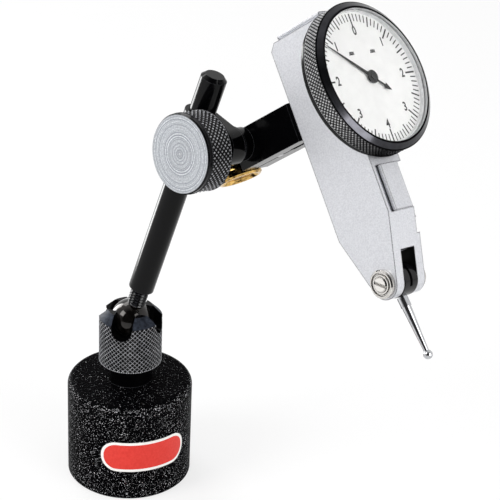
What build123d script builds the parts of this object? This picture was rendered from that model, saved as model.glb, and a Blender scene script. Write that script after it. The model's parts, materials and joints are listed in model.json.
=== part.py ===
from build123d import *
from math import asin, cos, degrees, pi, radians, sin, sqrt
import os

# A dial test indicator on a round magnetic base. A ball joint carries a post, a snug slides on the
# post, and a swivelling pair of dovetail jaws holds the indicator. Millimetres, Z up, and the origin
# is the centre of the magnet face.

# Fits
running_gap = 0.05
face_gap = 0.05
pivot_gap = 0.04

# Magnetic base
base_radius = 15.875
base_height = 26.9
base_top_round = 1.8
base_foot_chamfer = 0.4
base_wall = 3.275
base_crown_thickness = 8.4
base_top_facets = 3
spacer_width = 3.4
pole_length = 4.5
spacer_length = 2.0

# Socket stud and lock nut
stud_shank_radius = 3.9
stud_shank_clearance = 2.4
stud_neck_radius = 5.65
stud_neck_height = 5.1
stud_thread_radius = 6.3
stud_thread_height = 8.2
stud_hollow_radius = 2.4
nut_radius = 7.95
nut_height = 14.9
nut_chamfer = 2.2
nut_foot_chamfer = 0.3
nut_thread_height = 8.9
nut_slot_width = 5.4
nut_slot_depth = 9.25
nut_slot_count = 4

# Ball stud and post
ball_radius = 5.0
ball_rise = 17.1
neck_radius = 2.0
neck_length = 8.7
neck_thread_length = 6.0
post_radius = 3.175
post_length = 61.6
post_chamfer = 0.9
post_heading = -13.27
post_tilt = 16.24
post_spin = -31.06

# Snug, a split block that grips the post
post_to_swivel = 8.11
swivel_height = 55.53
post_depth = 12.04
snug_wall = 0.93
snug_half_height = 4.6
snug_slit = 0.7

# Clamp knob and its screw
knob_radius = 9.4
knob_length = 7.8
knob_edge = 0.4
knob_hub_radius = 5.0
knob_hub_length = 0.5
screw_radius = 2.38
screw_tail = 0.6

# Dovetail jaws
jaw_pair_width = 8.6
jaw_slit = 0.5
jaw_mouth_slit = 1.6
jaw_mouth_length = 8.0
jaw_above = 3.25
jaw_below = 5.95
jaw_reach = 18.55
jaw_bevel = 1.3
jaw_tail_length = 12.5
jaw_tail_below = 3.7
jaw_step = 2.6
jaw_round = 0.5
boss_radius = 4.0
washer_thickness = 0.5
fulcrum_radius = 0.8
fulcrum_reach = 6.5

# Brass jaw screw
jaw_screw_reach = 8.4
jaw_screw_head_radius = 5.6
jaw_screw_head_length = 2.4
jaw_screw_collar_radius = 3.2
jaw_screw_collar_length = 0.45
jaw_screw_radius = 1.5
jaw_screw_dish_radius = 4.7
jaw_screw_dish_depth = 0.7

# Where the indicator sits on the jaws
arm_angle = 52.37
dial_reach = 39.6
dial_drop = -0.23

# Indicator case, measured from the dial's centre: out is towards the crystal, down to the contact
case_half_width = 5.0
case_front = -4.1
case_back = -20.6
case_top = -16.6
case_back_chamfer = 1.6
case_slope_start = 29.3
case_heel_start = 31.0
case_end_radius = 3.7
case_wall = 1.5
front_wall = 2.1
cover_thickness = 1.3
cover_ledge = 0.8
cavity_top = -9.0
cavity_bottom = 26.0
cover_top = -15.4
cover_bottom = 31.6
edge_step_width = 1.0
edge_step_depth = 3.4
edge_step_top = 18.7
edge_step_bottom = 35.0
slot_half_width = 2.35
slot_top = 37.7
heel_slot_top = 39.6

# Dovetails of the case
dovetail_half_width = 3.2
dovetail_root_half_width = 2.3
dovetail_height = 1.6
dovetail_land = 0.3
dovetail_edge = 0.35
rear_dovetail_top = -12.0
rear_dovetail_bottom = 28.4
top_dovetail_back = -19.0
top_dovetail_front = -5.2
front_dovetail_top = 18.7
front_dovetail_bottom = 29.4
front_dovetail_proud = 0.7
front_groove_half_width = 4.0

# Lever pivot
pivot_out = -12.3
pivot_down = 43.45
pivot_shaft_radius = 0.8
pivot_shaft_half_length = 3.4
pivot_screw_radius = 1.75
pivot_screw_proud = 1.5
pivot_socket_depth = 1.1
pivot_slot_width = 0.45
pivot_slot_depth = 0.5
lock_ring_radius = 3.25
lock_ring_thickness = 1.2
lock_ring_notch_width = 1.0
lock_ring_notch_depth = 0.4
lock_ring_notch_count = 6

# Contact
hub_radius = 3.8
hub_half_width = 2.15
hub_groove_half_width = 0.42
hub_web_radius = 3.0
hub_web_half_angle = 45.0
contact_angle = 5.9
contact_set_back = 1.0
contact_length = 17.75
contact_ball_radius = 1.08
contact_root_radius = 1.25
contact_root_length = 2.4
contact_flat = 1.05
contact_cone_root = 1.1
contact_cone_tip = 0.55
contact_thread_radius = 0.8
contact_thread_length = 0.75
friction_washer_radius = 2.6
friction_washer_thickness = 0.12

# Lever and gear train
lever_half_thickness = 0.35
lever_ring_radius = 2.9
lever_root_width = 2.4
lever_tip_width = 1.5
lever_arm = 27.5
sector_arm = 3.0
drive_pin_radius = 0.3
sector_pivot_out = -11.5
sector_near = 1.2
sector_thickness = 0.7
sector_teeth = 144
sector_span = 8
sector_hub_radius = 1.1
sector_tail_end = 0.6
pinion_teeth = 12
crown_teeth = 60
crown_module = 0.13
crown_disc_thickness = 0.6
crown_face = 0.6
crown_pinion_width = 1.3
centre_pinion_length = 1.4
tooth_share = 0.34
tooth_addendum = 0.8
tooth_dedendum = 1.2
arbor_radius = 0.4
arbor_pivot_radius = 0.22
jewel_radius = 0.7
jewel_thickness = 0.7
bridge_thickness = 0.8
bridge_near = 2.65
bridge_top = -4.5
bridge_bottom = 17.5
bridge_back = -17.6
bridge_front = -7.0
pillar_radius = 1.0
bracket_out = -9.7
bracket_thickness = 0.6
bracket_half_width = 0.55

# Hairspring
hairspring_inner = 0.8
hairspring_outer = 2.8
hairspring_turns = 3
hairspring_steps = 12
hairspring_thickness = 0.07
hairspring_height = 0.3
hairspring_across = -2.45
collet_radius = 0.7

# Dial, bezel and crystal
housing_flange = 1.0
housing_floor = 0.9
housing_rim_wall = 0.8
housing_screw_inset = 3.4
housing_rim_top = -0.6
housing_opening_radius = 1.5
bezel_radius = 17.65
bezel_wall = 1.7
bezel_back = -3.0
bezel_shoulder = 1.0
bezel_front = 2.1
bezel_front_wall = 0.4
bezel_lip_reach = 0.5
bezel_lip_thickness = 0.35
dial_thickness = 0.4
retainer_height = 1.15
retainer_wall = 0.45
crystal_thickness = 0.45
gasket_wall = 0.3
pointer_heading = 53.5
pointer_margin = 1.3
pointer_tail = 6.0
pointer_width = 0.85
pointer_tip_width = 0.12
pointer_tail_width = 0.45
pointer_arrow_width = 1.5
pointer_arrow_length = 2.0
pointer_thickness = 0.12
pointer_lift = 0.4
pointer_hub_radius = 1.55
pointer_hub_thickness = 0.25
pointer_boss_radius = 0.65

# Small screws
small_screw_radius = 0.6
small_screw_head_radius = 1.1
small_screw_grip = 1.2
small_screw_head_height = 0.55
small_screw_slot = 0.3

# Frames of reference
post_dir = Vector(0, 0, 1).rotate(Axis.Y, post_tilt).rotate(Axis.Z, post_heading)
lean_dir = Vector(1, 0, 0).rotate(Axis.Y, post_tilt).rotate(Axis.Z, post_heading)
side_dir = lean_dir.rotate(Axis((0, 0, 0), post_dir), post_spin)
across = post_dir.cross(side_dir)
out = side_dir.rotate(Axis((0, 0, 0), across), -arm_angle)
down = across.cross(out)

ball_centre = Vector(0, 0, base_height + ball_rise)
post_plane = Plane(ball_centre, x_dir=side_dir, z_dir=post_dir)
swivel_point = post_plane.from_local_coords((post_to_swivel, post_depth, swivel_height))
knob_plane = Plane(swivel_point, x_dir=side_dir, z_dir=-across)
jaw_plane = Plane(swivel_point, x_dir=out, z_dir=across)
dial_centre = jaw_plane.from_local_coords((dial_reach, dial_drop, 0))
side_plane = Plane(dial_centre, x_dir=out, z_dir=across)
dial_plane = Plane(dial_centre, x_dir=across, z_dir=out)
pivot_plane = Plane(side_plane.from_local_coords((pivot_out, pivot_down, 0)), x_dir=out, z_dir=across)

post_bore_radius = post_radius + running_gap
snug_depth = 2 * (post_bore_radius + snug_wall)
snug_far = post_depth - snug_depth / 2
snug_near = post_depth + snug_depth / 2
knob_back = snug_near + face_gap + knob_hub_length
knob_face = knob_back + knob_length
jaw_half = jaw_pair_width / 2
boss_length = snug_far - face_gap - washer_thickness - jaw_half

os.makedirs("parts", exist_ok=True)


def save(builder, name):
    """Label a finished sub-part and write it."""
    builder.part.label = name
    export_step(builder.part, f"parts/{name}.step")


# Magnetic base

magnet_radius = base_radius - base_wall
pole_radius = magnet_radius - spacer_width
well_radius = magnet_radius + running_gap
well_depth = base_height - base_crown_thickness
magnet_length = well_depth - pole_length
stud_shank_length = base_crown_thickness - stud_shank_clearance
base_profile = [(0, 0), (base_radius - base_foot_chamfer, 0), (base_radius, base_foot_chamfer)]
for facet in range(base_top_facets + 1):
    facet_angle = radians(90 * facet / base_top_facets)
    facet_radius = base_radius - base_top_round * (1 - cos(facet_angle))
    facet_height = base_height - base_top_round * (1 - sin(facet_angle))
    base_profile.append((facet_radius, facet_height))
base_profile.append((0, base_height))

with BuildPart() as base_housing:
    with BuildSketch(Plane.XZ):
        Polygon(*base_profile, align=None)
    revolve(axis=Axis.Z)
    with BuildSketch(Plane.XY):
        Circle(well_radius)
    extrude(amount=well_depth, mode=Mode.SUBTRACT)
    with BuildSketch(Plane.XY.offset(base_height)):
        Circle(stud_shank_radius)
    extrude(amount=-stud_shank_length, mode=Mode.SUBTRACT)
save(base_housing, "base_housing")

with BuildPart() as magnet:
    with BuildSketch(Plane.XY.offset(pole_length)):
        Circle(magnet_radius)
    extrude(amount=magnet_length)
save(magnet, "magnet")

with BuildPart() as pole_piece:
    with BuildSketch(Plane.XY):
        Circle(pole_radius)
    extrude(amount=pole_length)
save(pole_piece, "pole_piece")

with BuildPart() as spacer_ring:
    with BuildSketch(Plane.XY):
        Circle(magnet_radius)
        Circle(pole_radius, mode=Mode.SUBTRACT)
    extrude(amount=spacer_length)
save(spacer_ring, "spacer_ring")

neck_top = base_height + stud_neck_height
thread_top = neck_top + stud_thread_height

with BuildPart() as socket_stud:
    with BuildSketch(Plane.XY.offset(base_height - stud_shank_length)):
        Circle(stud_shank_radius)
    extrude(amount=stud_shank_length)
    with BuildSketch(Plane.XY.offset(base_height)):
        Circle(stud_neck_radius)
    extrude(amount=stud_neck_height)
    with BuildSketch(Plane.XY.offset(neck_top)):
        Circle(stud_thread_radius)
    extrude(amount=stud_thread_height)
    with Locations(ball_centre):
        Sphere(ball_radius + running_gap, mode=Mode.SUBTRACT)
    with BuildSketch(Plane.XY.offset(thread_top)):
        Circle(stud_hollow_radius)
    extrude(amount=-stud_thread_height, mode=Mode.SUBTRACT)
save(socket_stud, "socket_stud")

# Lock nut, bored for the stud's thread and hollowed for the ball, with slots that let the neck
# of the ball stud lie down level in four directions

nut_foot = neck_top + face_gap
nut_top = nut_foot + nut_height

with BuildPart() as lock_nut:
    with BuildSketch(Plane.XY.offset(nut_foot)):
        Circle(nut_radius)
    extrude(amount=nut_height)
    chamfer(lock_nut.faces().sort_by(Axis.Z)[-1].edges(), nut_chamfer)
    chamfer(lock_nut.faces().sort_by(Axis.Z)[0].edges(), nut_foot_chamfer)
    with BuildSketch(Plane.XY.offset(nut_foot)):
        Circle(stud_thread_radius + running_gap)
    extrude(amount=nut_thread_height, mode=Mode.SUBTRACT)
    with Locations(ball_centre):
        Sphere(ball_radius + running_gap, mode=Mode.SUBTRACT)
    for slot in range(nut_slot_count):
        heading = post_heading + slot * 360 / nut_slot_count
        slot_dir = Vector(1, 0, 0).rotate(Axis.Z, heading)
        slot_side = Vector(0, 1, 0).rotate(Axis.Z, heading)
        slot_start = Vector(0, 0, nut_top - nut_slot_depth + nut_slot_width / 2)
        with BuildSketch(Plane(slot_start, x_dir=slot_side, z_dir=slot_dir)):
            Circle(nut_slot_width / 2)
            with Locations((0, nut_height / 2)):
                Rectangle(nut_slot_width, nut_height)
        extrude(amount=nut_radius + 1, mode=Mode.SUBTRACT)
save(lock_nut, "lock_nut")

# Ball stud and post

with BuildPart() as ball_stud:
    with Locations(ball_centre):
        Sphere(ball_radius)
    with BuildSketch(post_plane):
        Circle(neck_radius)
    extrude(amount=neck_length + neck_thread_length - face_gap)
save(ball_stud, "ball_stud")

with BuildPart() as post_rod:
    with BuildSketch(post_plane.offset(neck_length)):
        Circle(post_radius)
    extrude(amount=post_length)
    chamfer(post_rod.edges().filter_by(GeomType.CIRCLE), post_chamfer)
    with BuildSketch(post_plane.offset(neck_length)):
        Circle(neck_radius + running_gap)
    extrude(amount=neck_thread_length, mode=Mode.SUBTRACT)
save(post_rod, "post_rod")

# Snug: a block round the post, split from the post's hole to its swivel end

with BuildPart() as snug_block:
    with BuildSketch(knob_plane.offset(snug_far)):
        Circle(snug_half_height)
        with Locations((-(post_to_swivel + snug_depth / 2) / 2, 0)):
            Rectangle(post_to_swivel + snug_depth / 2, 2 * snug_half_height)
    extrude(amount=snug_depth)
    post_side_edges = snug_block.edges().filter_by(Axis((0, 0, 0), post_dir))
    fillet(post_side_edges.sort_by(Axis((0, 0, 0), side_dir))[:2], snug_depth / 2 - running_gap)
    with BuildSketch(post_plane.offset(swivel_height - snug_half_height)):
        Circle(post_bore_radius)
    extrude(amount=2 * snug_half_height, mode=Mode.SUBTRACT)
    with BuildSketch(knob_plane.offset(snug_far)):
        Circle(screw_radius + running_gap)
    extrude(amount=snug_depth, mode=Mode.SUBTRACT)
    with BuildSketch(knob_plane.offset(post_depth - snug_slit / 2)):
        with Locations(((snug_half_height - post_to_swivel) / 2, 0)):
            Rectangle(snug_half_height + post_to_swivel, 2 * snug_half_height)
    extrude(amount=snug_slit, mode=Mode.SUBTRACT)
save(snug_block, "snug_block")

with BuildPart() as swivel_washer:
    with BuildSketch(knob_plane.offset(snug_far - washer_thickness)):
        Circle(snug_half_height)
        Circle(screw_radius + running_gap, mode=Mode.SUBTRACT)
    extrude(amount=washer_thickness)
save(swivel_washer, "swivel_washer")

# Clamp knob, with the screw's end flush in its turned face

with BuildPart() as clamp_knob:
    with BuildSketch(knob_plane.offset(knob_back)):
        Circle(knob_radius)
    extrude(amount=knob_length)
    knob_rims = clamp_knob.edges().filter_by(GeomType.CIRCLE)
    chamfer(knob_rims, knob_edge)
    with BuildSketch(knob_plane.offset(knob_back - knob_hub_length)):
        Circle(knob_hub_radius)
    extrude(amount=knob_hub_length)
    with BuildSketch(knob_plane.offset(knob_back - knob_hub_length)):
        Circle(screw_radius)
    extrude(amount=knob_hub_length + knob_length, mode=Mode.SUBTRACT)
save(clamp_knob, "clamp_knob")

with BuildPart() as clamp_screw:
    with BuildSketch(knob_plane.offset(-jaw_half - screw_tail)):
        Circle(screw_radius)
    extrude(amount=jaw_half + screw_tail + knob_face)
    chamfer(clamp_screw.edges().filter_by(GeomType.CIRCLE).sort_by(Axis((0, 0, 0), across))[-1], screw_tail / 2)
save(clamp_screw, "clamp_screw")


def dovetail(grow=0.0, height=dovetail_height):
    """A dovetail rail's section: x outwards from its root, y across it, all faces grown by a fit."""
    root = dovetail_root_half_width + grow
    wide = dovetail_half_width + grow
    top = height + grow
    edge = dovetail_edge
    Polygon(
        (-grow, -root),
        (top - edge - dovetail_land, -wide),
        (top - edge, -wide),
        (top, edge - wide),
        (top, wide - edge),
        (top - edge, wide),
        (top - edge - dovetail_land, wide),
        (-grow, root),
        align=None,
    )


# Dovetail jaws. The two are alike but for the near jaw's boss, and close on the rail of the case.

rail_root = dial_reach + case_back
groove_fit = running_gap
jaw_height = jaw_above + jaw_below
jaw_top_plane = Plane(jaw_plane.from_local_coords((0, -jaw_above, 0)), x_dir=out, z_dir=down)


def jaw_solid(side):
    """Half of the bar: side is -1 for the near jaw and 1 for the far one. Call inside a part."""
    start = jaw_slit / 2 if side > 0 else -jaw_half
    with BuildSketch(jaw_plane.offset(start)) as outline:
        Polygon(
            (jaw_reach, -jaw_above),
            (jaw_reach, jaw_below),
            (-jaw_step, jaw_below),
            (-jaw_step, jaw_tail_below),
            (-jaw_tail_length, jaw_tail_below),
            (-jaw_tail_length, -jaw_above),
            align=None,
        )
    extrude(outline.sketch, amount=jaw_half - jaw_slit / 2)


def jaw_cuts():
    """Everything that the pair of jaws has in common along its parting plane. Call inside a part."""
    with BuildSketch(jaw_plane.offset(-jaw_half - boss_length)) as screw_hole:
        Circle(screw_radius + running_gap)
    extrude(screw_hole.sketch, amount=2 * jaw_half + boss_length, mode=Mode.SUBTRACT)
    rail_place = jaw_top_plane.from_local_coords((rail_root, 0, 0))
    with BuildSketch(Plane(rail_place, x_dir=-out, z_dir=down)) as rail:
        dovetail(groove_fit)
    extrude(rail.sketch, amount=jaw_height, mode=Mode.SUBTRACT)
    with BuildSketch(jaw_top_plane) as slit:
        with Locations((jaw_reach - jaw_mouth_length / 2, 0)):
            Rectangle(jaw_mouth_length, jaw_mouth_slit)
        with Locations((fulcrum_reach, 0)):
            Circle(fulcrum_radius)
        with Locations((-jaw_screw_reach, 0)):
            Circle(jaw_screw_radius + running_gap)
    extrude(slit.sketch, amount=jaw_height, mode=Mode.SUBTRACT)


def front_corner(builder, side):
    """The long edge beside the case on one side of the bar, for its bevel."""
    along = builder.edges().filter_by(Axis((0, 0, 0), down)).sort_by(Axis((0, 0, 0), across))
    outer = along[-3:] if side > 0 else along[:3]
    return outer.sort_by(Axis((0, 0, 0), out))[-1]


with BuildPart() as near_jaw:
    jaw_solid(-1)
    chamfer(front_corner(near_jaw, -1), jaw_bevel)
    with BuildSketch(jaw_plane.offset(-jaw_half - boss_length)):
        Circle(boss_radius)
    extrude(amount=boss_length)
    jaw_cuts()
save(near_jaw, "near_jaw")

with BuildPart() as far_jaw:
    jaw_solid(1)
    chamfer(front_corner(far_jaw, 1), jaw_bevel)
    jaw_cuts()
save(far_jaw, "far_jaw")

with BuildPart() as fulcrum_pin:
    with BuildSketch(jaw_top_plane):
        with Locations((fulcrum_reach, 0)):
            Circle(fulcrum_radius)
    extrude(amount=jaw_height)
save(fulcrum_pin, "fulcrum_pin")

# Brass jaw screw: its coned shank spreads the jaws' tails and so closes their mouth on the rail

collar_plane = Plane(
    jaw_plane.from_local_coords((-jaw_screw_reach, jaw_tail_below + face_gap, 0)), x_dir=out, z_dir=down
)
head_plane = collar_plane.offset(jaw_screw_collar_length)
shank_length = jaw_tail_below + jaw_above + face_gap

with BuildPart() as jaw_screw:
    with BuildSketch(head_plane):
        Circle(jaw_screw_head_radius)
    extrude(amount=jaw_screw_head_length)
    chamfer(jaw_screw.edges().filter_by(GeomType.CIRCLE), jaw_screw_collar_length)
    with BuildSketch(head_plane.offset(jaw_screw_head_length)):
        Circle(jaw_screw_dish_radius)
    extrude(amount=-jaw_screw_dish_depth, taper=45, mode=Mode.SUBTRACT)
    with BuildSketch(collar_plane):
        Circle(jaw_screw_collar_radius)
    extrude(amount=jaw_screw_collar_length)
    with BuildSketch(collar_plane):
        Circle(jaw_screw_radius)
    extrude(amount=-shank_length)
    chamfer(jaw_screw.edges().filter_by(GeomType.CIRCLE).sort_by(Axis((0, 0, 0), down))[0], jaw_screw_radius / 2)
save(jaw_screw, "jaw_screw")

# Indicator case: a channel between two cheeks, closed on the far side by a cover

case_width = 2 * case_half_width
cavity_near = -case_half_width + case_wall
cavity_front = case_front - front_wall
cavity_back = case_back + case_wall
cover_near = case_half_width - cover_thickness
cover_back = cavity_back - cover_ledge
cover_front = cavity_front + cover_ledge
front_plane = Plane(side_plane.from_local_coords((case_front, 0, 0)), x_dir=across, z_dir=out)
cover_screw_inset = 1.5 * small_screw_head_radius
cover_screw_places = [
    (cover_back + cover_screw_inset, cover_top + cover_screw_inset),
    (cover_front - cover_screw_inset, cover_top + cover_screw_inset),
    (cover_back + cover_screw_inset, cover_bottom - cover_screw_inset),
    (cover_front - cover_screw_inset, cover_bottom - cover_screw_inset),
]
housing_rim_radius = bezel_radius - bezel_wall - running_gap
housing_screw_places = [(0, 7.0), (0, -7.0), (0, housing_screw_inset - housing_rim_radius)]
pivot_spacing = lever_arm + sector_arm
sector_pivot_down = pivot_down - sqrt(pivot_spacing**2 - (sector_pivot_out - pivot_out) ** 2)


def upright_block(left, right, top, bottom):
    """A rectangle in the side view, given by its edges: out from left to right, down from top to bottom."""
    with Locations(((left + right) / 2, (top + bottom) / 2)):
        Rectangle(right - left, bottom - top)


def rail_plane(at_out, at_down, facing, run):
    """The plane of a dovetail's section: facing is its outward side, run the way that it is extruded."""
    return Plane(side_plane.from_local_coords((at_out, at_down, 0)), x_dir=facing, z_dir=run)


with BuildPart() as case:
    with BuildSketch(side_plane.offset(-case_half_width)):
        Polygon(
            (case_front, case_top),
            (case_front, case_slope_start),
            (case_back, case_heel_start),
            (case_back, case_top + case_back_chamfer),
            (case_back + case_back_chamfer, case_top),
            align=None,
        )
        with Locations((pivot_out, pivot_down)):
            Circle(case_end_radius)
        make_hull()
    extrude(amount=case_width)
    with BuildSketch(rail_plane(case_back, rear_dovetail_top, -out, down)):
        dovetail()
    extrude(amount=rear_dovetail_bottom - rear_dovetail_top)
    with BuildSketch(rail_plane(top_dovetail_back, case_top, -down, out)):
        dovetail()
    extrude(amount=top_dovetail_front - top_dovetail_back)
    front_depth = dovetail_height - front_dovetail_proud
    with BuildSketch(side_plane.offset(-front_groove_half_width)):
        upright_block(case_front - front_depth, case_front, front_dovetail_top, front_dovetail_bottom)
    extrude(amount=2 * front_groove_half_width, mode=Mode.SUBTRACT)
    with BuildSketch(rail_plane(case_front - front_depth, front_dovetail_top, out, down)):
        dovetail()
    extrude(amount=front_dovetail_bottom - front_dovetail_top)
    with BuildSketch(side_plane.offset(case_half_width - edge_step_width)):
        upright_block(case_front - edge_step_depth, case_front + 1, edge_step_top, edge_step_bottom)
    extrude(amount=edge_step_width, mode=Mode.SUBTRACT)
    with BuildSketch(side_plane.offset(cavity_near)):
        upright_block(cavity_back, cavity_front, cavity_top, cavity_bottom)
    extrude(amount=case_half_width - cavity_near, mode=Mode.SUBTRACT)
    with BuildSketch(side_plane.offset(cover_near)):
        upright_block(cover_back, cover_front, cover_top, cover_bottom)
    extrude(amount=cover_thickness, mode=Mode.SUBTRACT)
    with BuildSketch(side_plane.offset(cover_near)):
        with Locations(*cover_screw_places):
            Circle(small_screw_radius)
    extrude(amount=-small_screw_grip, mode=Mode.SUBTRACT)
    with BuildSketch(side_plane.offset(cavity_near)):
        with Locations((sector_pivot_out, 0), (sector_pivot_out, sector_pivot_down)):
            Circle(jewel_radius)
    extrude(amount=-jewel_thickness, mode=Mode.SUBTRACT)
    with BuildSketch(side_plane.offset(-slot_half_width)):
        upright_block(cavity_back, cavity_front - case_wall, cavity_bottom - 1, slot_top)
        upright_block(pivot_out, case_front, slot_top, pivot_down + 2 * case_end_radius)
        upright_block(case_back - 1, pivot_out, heel_slot_top, pivot_down + 2 * case_end_radius)
        upright_block(cavity_back, pivot_out, slot_top - 1, heel_slot_top + 1)
    extrude(amount=2 * slot_half_width, mode=Mode.SUBTRACT)
    with BuildSketch(side_plane.offset(-case_half_width)):
        with Locations((pivot_out, pivot_down)):
            Circle(pivot_screw_radius)
    extrude(amount=case_width, mode=Mode.SUBTRACT)
    with BuildSketch(front_plane):
        Circle(housing_opening_radius)
    extrude(amount=-front_wall, mode=Mode.SUBTRACT)
    with BuildSketch(front_plane):
        with Locations(*housing_screw_places):
            Circle(small_screw_radius)
    extrude(amount=-small_screw_grip, mode=Mode.SUBTRACT)
save(case, "case")

with BuildPart() as side_cover:
    with BuildSketch(side_plane.offset(cover_near)):
        upright_block(cover_back, cover_front, cover_top, cover_bottom)
    extrude(amount=cover_thickness)
    with BuildSketch(side_plane.offset(case_half_width)):
        with Locations(*cover_screw_places):
            Circle(small_screw_head_radius)
    extrude(amount=-small_screw_head_height, mode=Mode.SUBTRACT)
    with BuildSketch(side_plane.offset(case_half_width)):
        with Locations(*cover_screw_places):
            Circle(small_screw_radius)
    extrude(amount=-cover_thickness, mode=Mode.SUBTRACT)
save(side_cover, "side_cover")


def slotted_screws(plane, places, length):
    """Flat-headed screws with their heads' tops in the plane and their shanks below it."""
    with BuildSketch(plane) as heads:
        with Locations(*places):
            Circle(small_screw_head_radius)
    extrude(heads.sketch, amount=-small_screw_head_height)
    with BuildSketch(plane) as shanks:
        with Locations(*places):
            Circle(small_screw_radius)
    extrude(shanks.sketch, amount=-length)
    with BuildSketch(plane) as slots:
        with Locations(*places):
            Rectangle(2 * small_screw_head_radius, small_screw_slot)
    extrude(slots.sketch, amount=-small_screw_slot, mode=Mode.SUBTRACT)


with BuildPart() as cover_screws:
    slotted_screws(side_plane.offset(case_half_width), cover_screw_places, cover_thickness + small_screw_grip)
save(cover_screws, "cover_screws")

# Pivot screws and their notched lock rings, one of each on either cheek

with BuildPart() as pivot_screws:
    for side in (-1, 1):
        outward = Plane(pivot_plane.origin, x_dir=out, z_dir=across * side)
        with BuildSketch(outward.offset(slot_half_width)):
            Circle(pivot_screw_radius)
        screw_length = case_half_width + pivot_screw_proud - slot_half_width
        extrude(amount=screw_length)
        with BuildSketch(outward.offset(slot_half_width)):
            Circle(pivot_shaft_radius + pivot_gap)
        extrude(amount=pivot_socket_depth, mode=Mode.SUBTRACT)
        with BuildSketch(outward.offset(case_half_width + pivot_screw_proud)):
            Rectangle(2 * pivot_screw_radius, pivot_slot_width, rotation=-side * contact_angle * 5)
        extrude(amount=-pivot_slot_depth, mode=Mode.SUBTRACT)
save(pivot_screws, "pivot_screws")

with BuildPart() as lock_rings:
    for side in (-1, 1):
        outward = Plane(pivot_plane.origin, x_dir=out, z_dir=across * side)
        with BuildSketch(outward.offset(case_half_width)):
            Circle(lock_ring_radius)
            Circle(pivot_screw_radius, mode=Mode.SUBTRACT)
            with PolarLocations(lock_ring_radius, lock_ring_notch_count):
                Rectangle(2 * lock_ring_notch_depth, lock_ring_notch_width, mode=Mode.SUBTRACT)
        extrude(amount=lock_ring_thickness)
save(lock_rings, "lock_rings")

# Dial housing: a shallow cup on the case that the bezel turns on

housing_back = case_front
floor_top = housing_back + housing_floor
bezel_bore = housing_rim_radius + running_gap
bezel_front_radius = housing_rim_radius + bezel_front_wall
bezel_lip_radius = housing_rim_radius - bezel_lip_reach

with BuildPart() as dial_housing:
    with BuildSketch(dial_plane.offset(housing_back)):
        Circle(housing_rim_radius + housing_flange)
    extrude(amount=housing_floor)
    with BuildSketch(dial_plane.offset(floor_top)):
        Circle(housing_rim_radius)
        Circle(housing_rim_radius - housing_rim_wall, mode=Mode.SUBTRACT)
    extrude(amount=housing_rim_top - floor_top)
    with BuildSketch(dial_plane.offset(housing_back)):
        Circle(jewel_radius)
    extrude(amount=housing_floor, mode=Mode.SUBTRACT)
    with BuildSketch(dial_plane.offset(housing_back)):
        with Locations(*housing_screw_places):
            Circle(small_screw_radius)
    extrude(amount=housing_floor, mode=Mode.SUBTRACT)
save(dial_housing, "dial_housing")

with BuildPart() as housing_screws:
    slotted_screws(
        dial_plane.offset(floor_top + small_screw_head_height),
        housing_screw_places,
        small_screw_head_height + housing_floor + small_screw_grip,
    )
save(housing_screws, "housing_screws")

# Bezel, a turned ring: knurled band, smooth taper and a lip over the crystal

bezel_section_plane = Plane(dial_centre, x_dir=across, z_dir=down)

with BuildPart() as bezel:
    with BuildSketch(bezel_section_plane):
        with BuildLine():
            Polyline(
                (bezel_bore, bezel_back),
                (bezel_radius, bezel_back),
                (bezel_radius, bezel_shoulder),
                (bezel_front_radius, bezel_front),
                (bezel_lip_radius, bezel_front),
                (bezel_lip_radius, bezel_front - bezel_lip_thickness),
                (bezel_bore, bezel_front - bezel_lip_thickness),
                close=True,
            )
        make_face()
    revolve(axis=Axis(dial_centre, out))
save(bezel, "bezel")

with BuildPart() as dial_face:
    with BuildSketch(dial_plane.offset(-dial_thickness)):
        Circle(housing_rim_radius)
        Circle(jewel_radius, mode=Mode.SUBTRACT)
    extrude(amount=dial_thickness)
save(dial_face, "dial_face")

with BuildPart() as dial_retainer:
    with BuildSketch(dial_plane):
        Circle(housing_rim_radius)
        Circle(housing_rim_radius - retainer_wall, mode=Mode.SUBTRACT)
    extrude(amount=retainer_height)
save(dial_retainer, "dial_retainer")

with BuildPart() as crystal:
    with BuildSketch(dial_plane.offset(retainer_height)):
        Circle(housing_rim_radius)
    extrude(amount=crystal_thickness)
save(crystal, "crystal")

gasket_height = bezel_front - bezel_lip_thickness - retainer_height - crystal_thickness

with BuildPart() as crystal_gasket:
    with BuildSketch(dial_plane.offset(retainer_height + crystal_thickness)):
        Circle(housing_rim_radius)
        Circle(housing_rim_radius - gasket_wall, mode=Mode.SUBTRACT)
    extrude(amount=gasket_height)
save(crystal_gasket, "crystal_gasket")

# Contact: a slotted hub with the point screwed into it, gripped on the lever by spring washers

contact_dir = down.rotate(Axis((0, 0, 0), across), -contact_angle)
contact_side = across.cross(contact_dir)
contact_plane = Plane(pivot_plane.origin + contact_side * contact_set_back, x_dir=across, z_dir=contact_dir)
cone_length = contact_length - hub_radius - contact_root_length

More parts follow.
